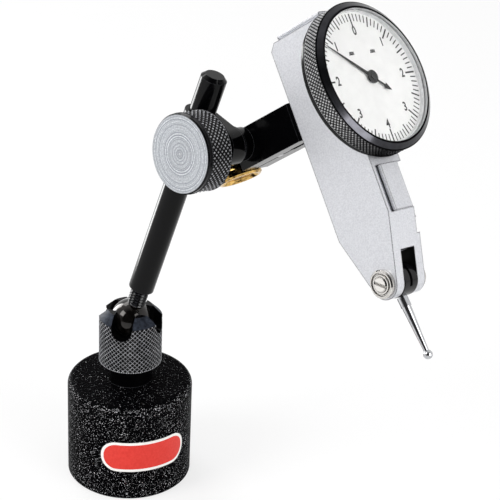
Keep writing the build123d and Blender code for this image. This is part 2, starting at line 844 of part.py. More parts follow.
with BuildPart() as contact_hub:
    with BuildSketch(pivot_plane.offset(-hub_half_width)):
        Circle(hub_radius)
        Circle(pivot_shaft_radius + pivot_gap, mode=Mode.SUBTRACT)
    extrude(amount=2 * hub_half_width)
    with BuildSketch(pivot_plane.offset(-hub_groove_half_width)):
        Circle(hub_radius)
        web_reach = 2 * hub_radius
        start = 90 - contact_angle - hub_web_half_angle
        stop = start + 2 * hub_web_half_angle
        Polygon(
            (0, 0),
            (web_reach * cos(radians(start)), web_reach * sin(radians(start))),
            (web_reach * cos(radians(stop)), web_reach * sin(radians(stop))),
            align=None,
            mode=Mode.SUBTRACT,
        )
        Circle(hub_web_radius)
    extrude(amount=2 * hub_groove_half_width, mode=Mode.SUBTRACT)
    with BuildSketch(contact_plane.offset(hub_web_radius)):
        Circle(contact_thread_radius)
    extrude(amount=hub_radius, mode=Mode.SUBTRACT)
    for side in (-1, 1):
        outward = Plane(pivot_plane.origin, x_dir=out, z_dir=across * side)
        with BuildSketch(outward.offset(hub_half_width)):
            Circle(friction_washer_radius)
        extrude(amount=-friction_washer_thickness, mode=Mode.SUBTRACT)
save(contact_hub, "contact_hub")

with BuildPart() as friction_washers:
    for side in (-1, 1):
        outward = Plane(pivot_plane.origin, x_dir=out, z_dir=across * side)
        with BuildSketch(outward.offset(hub_half_width - friction_washer_thickness)):
            Circle(friction_washer_radius)
            Circle(pivot_shaft_radius + pivot_gap, mode=Mode.SUBTRACT)
        extrude(amount=friction_washer_thickness)
save(friction_washers, "friction_washers")

with BuildPart() as contact_point:
    with BuildSketch(contact_plane.offset(hub_radius)):
        Circle(contact_root_radius)
        Rectangle(2 * contact_root_radius, 2 * contact_flat, mode=Mode.INTERSECT)
    extrude(amount=contact_root_length)
    with BuildSketch(contact_plane.offset(hub_radius - contact_thread_length)):
        Circle(contact_thread_radius)
    extrude(amount=contact_thread_length)
    with BuildSketch(contact_plane.offset(hub_radius + contact_root_length)):
        Circle(contact_cone_root)
    with BuildSketch(contact_plane.offset(contact_length)):
        Circle(contact_cone_tip)
    loft()
    with Locations(contact_plane.from_local_coords((0, 0, contact_length))):
        Sphere(contact_ball_radius, mode=Mode.SUBTRACT)
save(contact_point, "contact_point")

with BuildPart() as contact_ball:
    with Locations(contact_plane.from_local_coords((0, 0, contact_length))):
        Sphere(contact_ball_radius)
save(contact_ball, "contact_ball")

# Measuring lever, from the pivot shaft up to the pin that drives the sector

lever_lean = degrees(asin((sector_pivot_out - pivot_out) / pivot_spacing))
lever_dir = (-down).rotate(Axis((0, 0, 0), across), lever_lean)
lever_plane = Plane(pivot_plane.origin, x_dir=lever_dir, z_dir=across)
pin_reach = sector_near + sector_thickness

with BuildPart() as measuring_lever:
    with BuildSketch(lever_plane.offset(-lever_half_thickness)):
        Circle(lever_ring_radius)
        with BuildLine():
            Polyline(
                (0, -lever_root_width / 2),
                (lever_arm, -lever_tip_width / 2),
                (lever_arm, lever_tip_width / 2),
                (0, lever_root_width / 2),
                close=True,
            )
        make_face()
        with Locations((lever_arm, 0)):
            Circle(lever_tip_width / 2)
            Circle(drive_pin_radius, mode=Mode.SUBTRACT)
        Circle(pivot_shaft_radius, mode=Mode.SUBTRACT)
    extrude(amount=2 * lever_half_thickness)
save(measuring_lever, "measuring_lever")

with BuildPart() as pivot_shaft:
    with BuildSketch(pivot_plane.offset(-pivot_shaft_half_length)):
        Circle(pivot_shaft_radius)
    extrude(amount=2 * pivot_shaft_half_length)
save(pivot_shaft, "pivot_shaft")

with BuildPart() as drive_pin:
    with BuildSketch(lever_plane.offset(-lever_half_thickness)):
        with Locations((lever_arm, 0)):
            Circle(drive_pin_radius)
    extrude(amount=lever_half_thickness + pin_reach)
save(drive_pin, "drive_pin")

# Gear train: sector, crown wheel with its pinion, and the centre pinion that turns the pointer

train_spacing = sector_pivot_down
train_module = 2 * train_spacing / (sector_teeth + pinion_teeth)
sector_plane = Plane(
    side_plane.from_local_coords((sector_pivot_out, sector_pivot_down, 0)), x_dir=-down, z_dir=across
)
crown_plane = Plane(side_plane.from_local_coords((sector_pivot_out, 0, 0)), x_dir=-down, z_dir=across)
sector_tail_plane = Plane(sector_plane.origin, x_dir=lever_dir, z_dir=across)
pin_slot_width = 2 * (drive_pin_radius + pivot_gap)
sector_pitch_radius = train_module * sector_teeth / 2
sector_root_radius = sector_pitch_radius - tooth_dedendum * train_module
centre_pitch_radius = crown_module * pinion_teeth / 2
crown_pitch_radius = crown_module * crown_teeth / 2


def tooth(module, pitch_radius):
    """One straight-flanked gear tooth on the x axis, root to tip."""
    low = pitch_radius - (tooth_dedendum + 0.2) * module
    high = pitch_radius + tooth_addendum * module
    half = pi * module * tooth_share / 2
    Polygon(
        (low, -1.5 * half),
        (high, -0.55 * half),
        (high, 0.55 * half),
        (low, 1.5 * half),
        align=None,
    )


def pinion_section(module):
    """A pinion's section, with a space facing the x axis so that a wheel's tooth can enter it."""
    pitch_radius = module * pinion_teeth / 2
    Circle(pitch_radius - tooth_dedendum * module)
    with PolarLocations(0, pinion_teeth, start_angle=180 / pinion_teeth):
        tooth(module, pitch_radius)


with BuildPart() as sector_gear:
    with BuildSketch(sector_plane.offset(sector_near)):
        Circle(sector_hub_radius)
        sector_half_angle = (sector_span / 2 + 1) * 360 / sector_teeth
        half_chord = sector_root_radius * sin(radians(sector_half_angle))
        chord_reach = sector_root_radius * cos(radians(sector_half_angle))
        with BuildLine():
            Line((0, -sector_hub_radius), (chord_reach, -half_chord))
            ThreePointArc((chord_reach, -half_chord), (sector_root_radius, 0), (chord_reach, half_chord))
            Line((chord_reach, half_chord), (0, sector_hub_radius))
            Line((0, sector_hub_radius), (0, -sector_hub_radius))
        make_face()
        for count in range(-sector_span // 2, sector_span // 2 + 1):
            with Locations(Location((0, 0, 0), (0, 0, count * 360 / sector_teeth))):
                tooth(train_module, sector_pitch_radius)
        Circle(arbor_radius, mode=Mode.SUBTRACT)
    extrude(amount=sector_thickness)
    with BuildSketch(sector_tail_plane.offset(sector_near)):
        with Locations((-(sector_arm + sector_tail_end) / 2, 0)):
            Rectangle(sector_arm + sector_tail_end, 2 * sector_hub_radius)
        Circle(sector_hub_radius, mode=Mode.SUBTRACT)
        with Locations((-sector_arm - sector_tail_end, 0)):
            Rectangle(2 * (sector_tail_end + drive_pin_radius + pivot_gap), pin_slot_width, mode=Mode.SUBTRACT)
    extrude(amount=sector_thickness)
save(sector_gear, "sector_gear")

arbor_near = cavity_near + pivot_gap
arbor_far = bridge_near - pivot_gap
arbor_tip = jewel_thickness - pivot_gap


def arbor_solid(plane):
    """A gear's arbor between the near wall and the bridge, with a fine pivot at each end."""
    with BuildSketch(plane.offset(arbor_near)) as body:
        Circle(arbor_radius)
    extrude(body.sketch, amount=arbor_far - arbor_near)
    with BuildSketch(plane.offset(arbor_near - arbor_tip)) as pivots:
        Circle(arbor_pivot_radius)
    extrude(pivots.sketch, amount=arbor_far - arbor_near + 2 * arbor_tip)


with BuildPart() as sector_arbor:
    arbor_solid(sector_plane)
save(sector_arbor, "sector_arbor")

crown_tooth_low = -centre_pitch_radius - tooth_dedendum * crown_module
crown_tooth_tip = -centre_pitch_radius + tooth_addendum * crown_module
crown_tooth_half = pi * crown_module * tooth_share / 2

with BuildPart() as crown_wheel:
    with BuildSketch(crown_plane.offset(crown_tooth_low - crown_disc_thickness)):
        Circle(crown_pitch_radius + crown_face / 2)
        Circle(arbor_radius, mode=Mode.SUBTRACT)
    extrude(amount=crown_disc_thickness)
    with BuildSketch(crown_plane.offset(crown_tooth_low)):
        with PolarLocations(0, crown_teeth):
            with Locations((crown_pitch_radius, 0)):
                Rectangle(crown_face, 2 * crown_tooth_half)
    extrude(amount=crown_tooth_tip - crown_tooth_low)
save(crown_wheel, "crown_wheel")

crown_pinion_near = sector_near + sector_thickness / 2 - crown_pinion_width / 2

with BuildPart() as crown_pinion:
    with BuildSketch(crown_plane.offset(crown_pinion_near)):
        pinion_section(train_module)
    extrude(amount=crown_pinion_width)
    arbor_solid(crown_plane)
save(crown_pinion, "crown_pinion")

with BuildPart() as hairspring_collet:
    with BuildSketch(crown_plane.offset(hairspring_across - hairspring_height / 2)):
        Circle(collet_radius)
        Circle(arbor_radius, mode=Mode.SUBTRACT)
    extrude(amount=hairspring_height)
save(hairspring_collet, "hairspring_collet")

mesh_out = sector_pivot_out + crown_pitch_radius
centre_arbor_foot = bracket_out + pivot_gap
hub_top = pointer_lift + pointer_hub_thickness

with BuildPart() as centre_pinion:
    with BuildSketch(dial_plane.offset(mesh_out - centre_pinion_length / 2)):
        pinion_section(crown_module)
    extrude(amount=centre_pinion_length)
    with BuildSketch(dial_plane.offset(centre_arbor_foot)):
        Circle(arbor_radius)
    extrude(amount=pointer_lift - centre_arbor_foot)
    with BuildSketch(dial_plane.offset(centre_arbor_foot - bracket_thickness / 2)):
        Circle(arbor_pivot_radius)
    extrude(amount=bracket_thickness / 2)
save(centre_pinion, "centre_pinion")

# Pointer, with a round hub and an arrow-shaped tail

pointer_length = housing_rim_radius - pointer_margin
pointer_side = across.rotate(Axis((0, 0, 0), out), pointer_heading)
pointer_plane = Plane(dial_plane.offset(pointer_lift).origin, x_dir=pointer_side, z_dir=out)

with BuildPart() as pointer:
    with BuildSketch(pointer_plane):
        with BuildLine():
            Polyline(
                (-pointer_width / 2, 0),
                (-pointer_tip_width / 2, pointer_length),
                (pointer_tip_width / 2, pointer_length),
                (pointer_width / 2, 0),
                (pointer_tail_width / 2, 0),
                (pointer_tail_width / 2, pointer_arrow_length - pointer_tail),
                (pointer_arrow_width / 2, pointer_arrow_length - pointer_tail),
                (0, -pointer_tail),
                (-pointer_arrow_width / 2, pointer_arrow_length - pointer_tail),
                (-pointer_tail_width / 2, pointer_arrow_length - pointer_tail),
                (-pointer_tail_width / 2, 0),
                close=True,
            )
        make_face()
        Circle(pointer_hub_radius, mode=Mode.SUBTRACT)
    extrude(amount=pointer_thickness)
save(pointer, "pointer")

with BuildPart() as pointer_hub:
    with BuildSketch(pointer_plane):
        Circle(pointer_hub_radius)
    extrude(amount=pointer_hub_thickness)
    with BuildSketch(pointer_plane.offset(pointer_hub_thickness)):
        Circle(pointer_boss_radius)
    extrude(amount=pointer_thickness)
save(pointer_hub, "pointer_hub")

# Bridge, pillars, jewels and the bracket under the centre pinion

pillar_places = [
    (bridge_back + 1.2 * pillar_radius, bridge_top + 1.2 * pillar_radius),
    (bridge_back + 1.2 * pillar_radius, bridge_bottom - 1.2 * pillar_radius),
]

with BuildPart() as movement_bridge:
    with BuildSketch(side_plane.offset(bridge_near)):
        upright_block(bridge_back, bridge_front, bridge_top, bridge_bottom)
        with Locations((sector_pivot_out, 0), (sector_pivot_out, sector_pivot_down)):
            Circle(jewel_radius, mode=Mode.SUBTRACT)
    extrude(amount=bridge_thickness)
    fillet(movement_bridge.edges().filter_by(Axis((0, 0, 0), across)).filter_by(GeomType.LINE), pillar_radius / 2)
save(movement_bridge, "movement_bridge")

with BuildPart() as bridge_pillars:
    with BuildSketch(side_plane.offset(cavity_near)):
        with Locations(*pillar_places):
            Circle(pillar_radius)
    extrude(amount=bridge_near - cavity_near)
save(bridge_pillars, "bridge_pillars")

with BuildPart() as centre_bracket:
    with BuildSketch(dial_plane.offset(bracket_out - bracket_thickness / 2)):
        with Locations(((bridge_near - bracket_half_width) / 2, 0)):
            Rectangle(bridge_near + bracket_half_width, 2 * bracket_half_width)
        Circle(arbor_pivot_radius + pivot_gap, mode=Mode.SUBTRACT)
    extrude(amount=bracket_thickness / 2)
save(centre_bracket, "centre_bracket")

with BuildPart() as jewels:
    for plane in (sector_plane, crown_plane):
        for start in (cavity_near, bridge_near):
            with BuildSketch(plane.offset(start)):
                Circle(jewel_radius)
                Circle(arbor_pivot_radius + pivot_gap, mode=Mode.SUBTRACT)
            extrude(amount=jewel_thickness if start > 0 else -jewel_thickness)
    with BuildSketch(dial_plane.offset(housing_back)):
        Circle(jewel_radius)
        Circle(arbor_radius + pivot_gap, mode=Mode.SUBTRACT)
    extrude(amount=jewel_thickness)
save(jewels, "jewels")

# Hairspring: a flat spiral from its collet to a stud on the near wall


def spiral(radius_shift):
    """Points of an even spiral, a small step outwards or inwards of the middle line."""
    steps = hairspring_steps * hairspring_turns
    points = []
    for step in range(steps + 1):
        share = step / steps
        radius = hairspring_inner + (hairspring_outer - hairspring_inner) * share + radius_shift
        turn = 2 * pi * hairspring_turns * share
        points.append((radius * cos(turn), radius * sin(turn)))
    return points


with BuildPart() as hairspring:
    with BuildSketch(crown_plane.offset(hairspring_across - hairspring_height / 2)):
        inner_points = spiral(-hairspring_thickness / 2)
        outer_points = spiral(hairspring_thickness / 2)
        Polygon(*inner_points, *reversed(outer_points), align=None)
    extrude(amount=hairspring_height)
save(hairspring, "hairspring")

with BuildPart() as hairspring_stud:
    with BuildSketch(crown_plane.offset(cavity_near)):
        with Locations((hairspring_outer + collet_radius / 2 + hairspring_thickness / 2, 0)):
            Rectangle(collet_radius, collet_radius)
    extrude(amount=hairspring_across + hairspring_height / 2 - cavity_near)
save(hairspring_stud, "hairspring_stud")
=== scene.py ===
import json
import math

import bmesh
import bpy
from mathutils import Matrix, Vector


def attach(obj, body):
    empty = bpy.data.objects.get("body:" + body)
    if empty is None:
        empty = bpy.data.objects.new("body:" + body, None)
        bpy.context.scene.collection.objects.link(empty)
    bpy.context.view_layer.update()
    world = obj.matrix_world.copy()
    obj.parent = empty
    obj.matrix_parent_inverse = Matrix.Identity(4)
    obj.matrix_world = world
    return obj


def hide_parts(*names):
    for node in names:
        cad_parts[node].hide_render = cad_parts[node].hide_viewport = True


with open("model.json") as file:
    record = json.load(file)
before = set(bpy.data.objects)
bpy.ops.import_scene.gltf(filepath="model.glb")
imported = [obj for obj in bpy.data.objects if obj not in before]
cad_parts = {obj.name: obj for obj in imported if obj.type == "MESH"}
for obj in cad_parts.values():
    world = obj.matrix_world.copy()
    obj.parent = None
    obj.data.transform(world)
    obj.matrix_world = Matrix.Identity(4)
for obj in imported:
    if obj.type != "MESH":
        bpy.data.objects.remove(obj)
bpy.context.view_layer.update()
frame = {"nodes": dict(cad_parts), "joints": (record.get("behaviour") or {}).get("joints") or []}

# Places and directions of the indicator, from the joints of the frame
joints = {joint["name"]: joint for joint in frame["joints"]}


def axis_of(name):
    """The direction of a joint's axis."""
    return Vector(joints[name]["axis"]).normalized()


def place_of(name):
    """A point on a joint's axis, in metres."""
    return Vector(joints[name]["pos_m"])


out = axis_of("bezel_turn")
down = axis_of("dovetail_slide")
across = -axis_of("arm_swivel")
post_dir = axis_of("post_turn")
lean_side = axis_of("ball_lean")
up = Vector((0, 0, 1))
ball_centre = place_of("ball_lean")
swivel_point = place_of("arm_swivel")
dial_centre = place_of("bezel_turn")
pivot_point = place_of("contact_set")
jaw_screw_point = place_of("jaw_screw_turn")
lean_dir = lean_side.cross(up)


def frame_at(place, x_axis, z_axis):
    """A millimetre frame in the model: its origin is place and its axes are x_axis and z_axis."""
    turn = Matrix((x_axis, z_axis.cross(x_axis), z_axis)).transposed().to_4x4()
    return Matrix.Translation(place) @ turn @ Matrix.Scale(0.001, 4)


base_frame = Matrix.Scale(0.001, 4)
nut_frame = frame_at(Vector((0, 0, 0)), lean_dir, up)
post_frame = frame_at(ball_centre, post_dir.cross(up).normalized(), post_dir)
knob_frame = frame_at(swivel_point, post_dir, -across)
dial_frame = frame_at(dial_centre, across, out)

# Sizes of the pieces made here, in millimetres, with headings in degrees

# Lock nut, with heights up from the table
nut_radius = 7.95
nut_foot = 32.05
nut_top = 46.95
nut_chamfer = 2.2
nut_foot_chamfer = 0.3
nut_bore = 6.35
nut_bore_top = 40.95
nut_hollow = 5.05
nut_slot_width = 5.4
nut_slot_floor = 41.35
nut_slot_over = 30.0

# Neck of the ball stud, with heights along the post from the ball's centre
neck_radius = 2.0
neck_thread_foot = 4.9
neck_thread_top = 8.65
neck_thread_pitch = 0.8
neck_thread_depth = 0.28
neck_thread_root = 0.1
neck_thread_skin = 0.02

# Clamp knob, with heights out from the point of the joint arm_swivel
knob_radius = 9.4
knob_bore = 2.38
knob_edge = 0.4
knob_rim = 1.3
knob_rim_step = 0.1
knob_hub_radius = 5.0
knob_hub_back = 16.245
knob_back = 16.745
knob_face = 24.545
knob_line_radii = (0.45, 0.95, knob_bore, 3.4, knob_radius - knob_edge - 0.05)
knob_line_half_width = 0.09

# Case and its pivot, with heights out from the case's middle and the slot's ends down from the
# dial's centre
case_half_width = 5.0
slot_half_width = 2.35
slot_start = 37.6
slot_end = 60.0
lock_ring_radius = 3.25
lock_ring_thickness = 1.2
lock_ring_gap = 0.03
lock_ring_edge = 0.3
groove_outer = 2.62
groove_outer_floor = 2.52
groove_inner_floor = 2.32
groove_inner = 2.22
groove_depth = 0.3
pivot_screw_radius = 1.75
pivot_screw_proud = 1.5
pivot_screw_edge = 0.15
pivot_shaft_bore = 0.84
pivot_socket_depth = 1.1
screw_slot_width = 0.45
screw_slot_depth = 0.5
screw_slot_over = 1.0
screw_slot_reach = 3.0
screw_slot_turn = 36.0

# Bezel, with heights out from the dial's face
bezel_radius = 17.55
bezel_back = -3.0
bezel_shoulder = 1.3
bezel_front = 2.1
bezel_front_radius = 16.15
bezel_lip_radius = 15.65
bezel_lip_back = 1.85
bezel_bore = 15.95
bezel_edge = 0.2
bezel_step = 0.25

# Knurls
nut_knurl_pitch = 1.2
knob_knurl_pitch = 1.25
bezel_knurl_pitch = 0.95
knurl_depth = 0.3
knurl_margin = 0.1

# Dial print
tick_outer = 15.1
tick_count = 80
tick_lengths = {10: 3.0, 5: 2.5, 1: 1.8}
tick_widths = {10: 0.4, 5: 0.36, 1: 0.27}
print_height = 0.02
print_narrowing = 0.8
numeral_radius = 11.0
numeral_size = 2.9
numeral_stroke = 0.075
value_size = 1.0
value_aside = 3.6
value_above = 5.9

# Base housing and its label, with heights up from the table
base_radius = 15.875
base_height = 26.9
base_top_round = 1.8
base_foot_chamfer = 0.4
base_bore = 3.9
base_bore_foot = 20.9
base_well_radius = 12.65
base_well_top = 18.5
label_heading = -70.0
label_half_width = 11.6
label_half_height = 4.3
label_corner = 4.15
label_height = 12.7
label_border = 0.75
label_root = 0.1
label_border_rise = 0.03
label_field_rise = 0.06
label_columns = 64
label_rows = 6

# Shading angles in degrees, and how close counts as the same
knurl_crease = 25
turned_crease = 30
thread_crease = 40
face_margin = 0.02
same_place = 1e-6
weld = 1e-5
label_weld = 1e-4


def piece(name, body, mesh, material, place, crease=None):
    """Put a mesh drawn in millimetres into the model, as a piece that rides on a body. With
    crease it is shaded smooth, apart from edges sharper than that many degrees."""
    mesh.transform(place)
    mesh.materials.clear()
    mesh.materials.append(material)
    obj = bpy.data.objects.new(name, mesh)
    bpy.context.scene.collection.objects.link(obj)
    if crease is not None:
        mesh.shade_smooth()
        mesh.set_sharp_from_angle(angle=math.radians(crease))
    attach(obj, body)
    return obj


# Materials: named for the real finish, colours in sRGB, pattern sizes in millimetres. The black
# ones have a low specular level, because the sky here is whiter than the room round the real ones.
# noise_low and noise_high are the values that a noise mostly stays between

noise_low = 0.3
noise_high = 0.7


def colour(code):
    """A linear colour from an sRGB hex value."""
    parts = [int(code[i:i + 2], 16) / 255 for i in (1, 3, 5)]
    linear = [c / 12.92 if c <= 0.04045 else ((c + 0.055) / 1.055) ** 2.4 for c in parts]
    return (*linear, 1.0)


def add(tree, kind, links=(), values=(), **settings):
    """Add a node: settings are its own options, values its sockets and links what feeds them."""
    made = tree.nodes.new(kind)
    for key, value in settings.items():
        setattr(made, key, value)
    for key, value in dict(values).items():
        made.inputs[key].default_value = value
    for key, source in dict(links).items():
        tree.links.new(source, made.inputs[key])
    return made


def finish(name, code, metallic=0.0, roughness=0.4, **sockets):
    """A new material's node tree and shader, with constants on the shader's own sockets."""
    material = bpy.data.materials.new(name)
    material.use_nodes = True
    material.diffuse_color = colour(code)
    tree = material.node_tree
    shader = tree.nodes["Principled BSDF"]
    shader.inputs["Base Color"].default_value = colour(code)
    shader.inputs["Metallic"].default_value = metallic
    shader.inputs["Roughness"].default_value = roughness
    for key, value in sockets.items():
        shader.inputs[key.replace("_", " ")].default_value = value
    return material, tree, shader


def in_frame(tree, place):
    """Texture coordinates in millimetres in one of the frames above."""
    coords = add(tree, "ShaderNodeTexCoord").outputs["Object"]
    back = place.inverted()
    turn = back.to_3x3()
    rows = []
    for row in range(3):
        along = add(
            tree, "ShaderNodeVectorMath", {0: coords}, {1: tuple(turn[row])},
            operation="DOT_PRODUCT",
        ).outputs["Value"]
        shifted = add(
            tree, "ShaderNodeMath", {0: along}, {1: back.translation[row]}, operation="ADD"
        ).outputs[0]
        rows.append(shifted)
    return add(tree, "ShaderNodeCombineXYZ", dict(zip("XYZ", rows))).outputs[0]


def stretched(tree, coords, scale):
    """Coordinates scaled apart along their axes, for marks that run one way."""
    return add(
        tree, "ShaderNodeVectorMath", {0: coords}, {1: scale}, operation="MULTIPLY"
    ).outputs[0]


def radius_of(tree, coords):
    """How far a place is from the frame's z axis, in millimetres."""
    flat = stretched(tree, coords, (1, 1, 0))
    return add(tree, "ShaderNodeVectorMath", {0: flat}, operation="LENGTH").outputs["Value"]


def grain(tree, coords, size, low=0.0, high=1.0, detail=3.0):
    """Soft noise with spots of about size millimetres, spread from low to high."""
    noise = add(
        tree, "ShaderNodeTexNoise", {"Vector": coords}, {"Scale": 1 / size, "Detail": detail}
    ).outputs["Fac"]
    return add(
        tree, "ShaderNodeMapRange", {"Value": noise},
        {"From Min": noise_low, "From Max": noise_high, "To Min": low, "To Max": high},
    ).outputs[0]


def rings(tree, coords, spacing, low=0.0, high=1.0):
    """Concentric turning marks round the frame's z axis."""
    noise = add(
        tree, "ShaderNodeTexNoise", {"W": radius_of(tree, coords)},
        {"Scale": 1 / spacing, "Detail": 2.0}, noise_dimensions="1D",
    ).outputs["Fac"]
    return add(
        tree, "ShaderNodeMapRange", {"Value": noise},
        {"From Min": noise_low, "From Max": noise_high, "To Min": low, "To Max": high},
    ).outputs[0]


def tint(tree, shader, amount, first, second):
    """Colour the surface between two colours by amount."""
    mixed = add(
        tree, "ShaderNodeMix", {"Factor": amount},
        {6: colour(first), 7: colour(second)}, data_type="RGBA",
    ).outputs[2]
    tree.links.new(mixed, shader.inputs["Base Color"])


def edges(tree, reach, low, high):
    """From low on open faces to high within reach millimetres of an edge or a corner."""
    rounded = add(tree, "ShaderNodeBevel", (), {"Radius": reach / 1000}, samples=6).outputs[0]
    true = add(tree, "ShaderNodeNewGeometry").outputs["Normal"]
    likeness = add(
        tree, "ShaderNodeVectorMath", {0: rounded, 1: true}, operation="DOT_PRODUCT"
    ).outputs["Value"]
    return add(
        tree, "ShaderNodeMapRange", {"Value": likeness},
        {"From Min": 0.99, "From Max": 0.85, "To Min": low, "To Max": high},
    ).outputs[0]


def overlap(tree, *masks):
    """One mask that is strong only where all of the masks are."""
    shared = masks[0]
    for mask in masks[1:]:
        shared = add(tree, "ShaderNodeMath", {0: shared, 1: mask}, operation="MULTIPLY").outputs[0]
    return shared


def inside(tree, value, low, high):
    """1 where value lies between low and high, otherwise 0."""
    above = add(tree, "ShaderNodeMath", {0: value}, {1: low}, operation="GREATER_THAN").outputs[0]
    below = add(tree, "ShaderNodeMath", {0: value}, {1: high}, operation="LESS_THAN").outputs[0]
    return overlap(tree, above, below)


def crests(tree, coords, band, full, gone):
    """1 on the crests of a knurled band and 0 below them. full and gone say how far down the
    knurl the mask is 1 and 0, as shares of its depth."""
    radius, foot, top = band[:3]
    crest_mask = add(
        tree, "ShaderNodeMapRange", {"Value": radius_of(tree, coords)},
        {"From Min": radius - gone * knurl_depth, "From Max": radius - full * knurl_depth},
    ).outputs[0]
    height = add(tree, "ShaderNodeSeparateXYZ", {0: coords}).outputs[2]
    return overlap(tree, crest_mask, inside(tree, height, foot + knurl_margin, top - knurl_margin))


def relief(tree, shader, height, depth):
    """Raise the surface by height, up to depth millimetres."""
    bump = add(
        tree, "ShaderNodeBump", {"Height": height}, {"Distance": depth / 1000, "Strength": 1.0}
    ).outputs[0]
    tree.links.new(bump, shader.inputs["Normal"])


def roughen(tree, shader, amount):
    """Let amount set the roughness over the surface."""
    tree.links.new(amount, shader.inputs["Roughness"])


# Wrinkle enamel on the cast base: deep black and pebbled, with a painted glint on each pebble:
# pale specks painted in the colour as highlights. The painted glints are brighter and denser on the
# side and most of all on the rounded shoulder, and few on the top. They are drawn coarser than the
# real ones, which are too fine to show
pebble_size = 0.5
glint_size = 0.25
glint_loss_on_top = -0.055
glint_gain_on_shoulder = 0.06
shoulder_tilt = (0.25, 0.8)
glint_from = 0.65
glint_full = 0.71
wrinkle_enamel, tree, shader = finish(
    "wrinkle enamel, black", "#050506", roughness=0.35, Specular_IOR_Level=0.005
)
mm = in_frame(tree, base_frame)
pebbles = add(
    tree, "ShaderNodeTexVoronoi", {"Vector": mm},
    {"Scale": 1 / pebble_size, "Randomness": 1.0}, feature="SMOOTH_F1",
).outputs["Distance"]
normal = add(tree, "ShaderNodeNewGeometry").outputs["Normal"]
facing_up = add(tree, "ShaderNodeSeparateXYZ", {0: normal}).outputs[2]
noise = add(
    tree, "ShaderNodeTexNoise", {"Vector": mm}, {"Scale": 1 / glint_size, "Detail": 1.0}
).outputs["Fac"]
on_top = add(
    tree, "ShaderNodeMath", {0: facing_up}, {1: glint_loss_on_top}, operation="MULTIPLY"
).outputs[0]
on_shoulder = add(
    tree, "ShaderNodeMath", {0: inside(tree, facing_up, *shoulder_tilt)},
    {1: glint_gain_on_shoulder}, operation="MULTIPLY",
).outputs[0]
shift = add(tree, "ShaderNodeMath", {0: on_top, 1: on_shoulder}, operation="ADD").outputs[0]
shifted = add(tree, "ShaderNodeMath", {0: noise, 1: shift}, operation="ADD").outputs[0]
# Painted highlights: pale specks painted in the colour, more of them on the side and shoulder than
# on top
painted_glints = add(
    tree, "ShaderNodeMapRange", {"Value": shifted}, {"From Min": glint_from, "From Max": glint_full}
).outputs[0]
tint(tree, shader, overlap(tree, painted_glints, grain(tree, mm, 2.5, 0.3, 1.0)), "#030304", "#f4f4f8")
relief(tree, shader, pebbles, -0.16)

# Cast magnet alloy: dull grey with a coarse crystalline mottle
magnet_alloy, tree, shader = finish("cast magnet alloy", "#77777a", metallic=0.9, roughness=0.5)
mm = in_frame(tree, base_frame)
tint(tree, shader, grain(tree, mm, 1.4, detail=5.0), "#5c5c60", "#85858a")
relief(tree, shader, grain(tree, mm, 0.5), 0.04)

# Surface-ground steel: straight fine lines across the pole face
ground_steel, tree, shader = finish("surface-ground steel", "#b4b4b6", metallic=1.0, roughness=0.28)
mm = in_frame(tree, base_frame)
lines = grain(tree, stretched(tree, mm, (0.05, 1, 1)), 0.12)
tint(tree, shader, lines, "#a2a2a5", "#c4c4c6")
roughen(tree, shader, grain(tree, mm, 3.0, 0.22, 0.36))

# Turned brass: warm yellow, with fine lathe rings
turned_brass, tree, shader = finish("turned brass", "#c79a4b", metallic=1.0, roughness=0.3)
mm = in_frame(tree, base_frame)
tint(tree, shader, rings(tree, mm, 0.15), "#b98b3d", "#d3a85a")

# Black oxide on turned steel: deep black, glossy under oil, with a painted highlight along its
# edges
black_oxide, tree, shader = finish(
    "oiled black oxide", "#040405", roughness=0.12, Specular_IOR_Level=0.14
)
mm = in_frame(tree, nut_frame)
# Painted highlight: the colour turns paler within 0.22 mm of edges and corners, broken up by grain
painted_edge_highlight = overlap(tree, edges(tree, 0.22, 0.0, 0.6), grain(tree, mm, 0.8, 0.4, 1.0))
tint(tree, shader, painted_edge_highlight, "#040405", "#6a6b70")
roughen(tree, shader, grain(tree, stretched(tree, mm, (1, 1, 0.3)), 0.8, 0.08, 0.18))

# Black oxide on the nut's turned chamfer: a paler black with a blue bloom, a little cloudy
blued_chamfer, tree, shader = finish(
    "blue-black oxide, turned", "#1f222a", roughness=0.4, Specular_IOR_Level=0.04
)
mm = in_frame(tree, base_frame)
tint(tree, shader, grain(tree, mm, 0.8), "#1a1d24", "#343943")

# Black oxide on knurled steel: the cuts stay deep black and the crests are worn to pale bare
# metal. The nut has thin ridges round pits, and the knob has pyramids with broad worn tops
nut_band = (nut_radius, nut_foot + nut_foot_chamfer, nut_top - nut_chamfer, max, nut_knurl_pitch)
knob_band = (knob_radius, knob_back + knob_edge, knob_face - knob_rim, min, knob_knurl_pitch)
nut_wear = (0.0, 0.2)
knob_wear = (0.15, 0.6)
knurl_oxides = []
for place, band, wear in ((base_frame, nut_band, nut_wear), (knob_frame, knob_band, knob_wear)):
    knurl_oxide, tree, shader = finish(
        "worn black oxide, knurled", "#131316", roughness=0.4, Specular_IOR_Level=0.06
    )
    mm = in_frame(tree, place)
    wear_and_painted_light = overlap(tree, crests(tree, mm, band, *wear), grain(tree, mm, 0.9, 0.3, 1.0))
    tint(tree, shader, wear_and_painted_light, "#020203", "#dadbe0")
    roughen(tree, shader, grain(tree, mm, 0.8, 0.25, 0.42))
    knurl_oxides.append(knurl_oxide)
nut_oxide, knob_oxide = knurl_oxides

# Hardened polished ball: near black with a brown cast, mirror-like
polished_ball, tree, shader = finish(
    "polished blackened steel", "#14110f", metallic=0.8, roughness=0.1,
    Coat_Weight=0.4, Coat_Roughness=0.06,
)
mm = in_frame(tree, nut_frame)
tint(tree, shader, grain(tree, mm, 1.5), "#0e0c0a", "#1f1b18")
roughen(tree, shader, grain(tree, mm, 0.6, 0.08, 0.18))

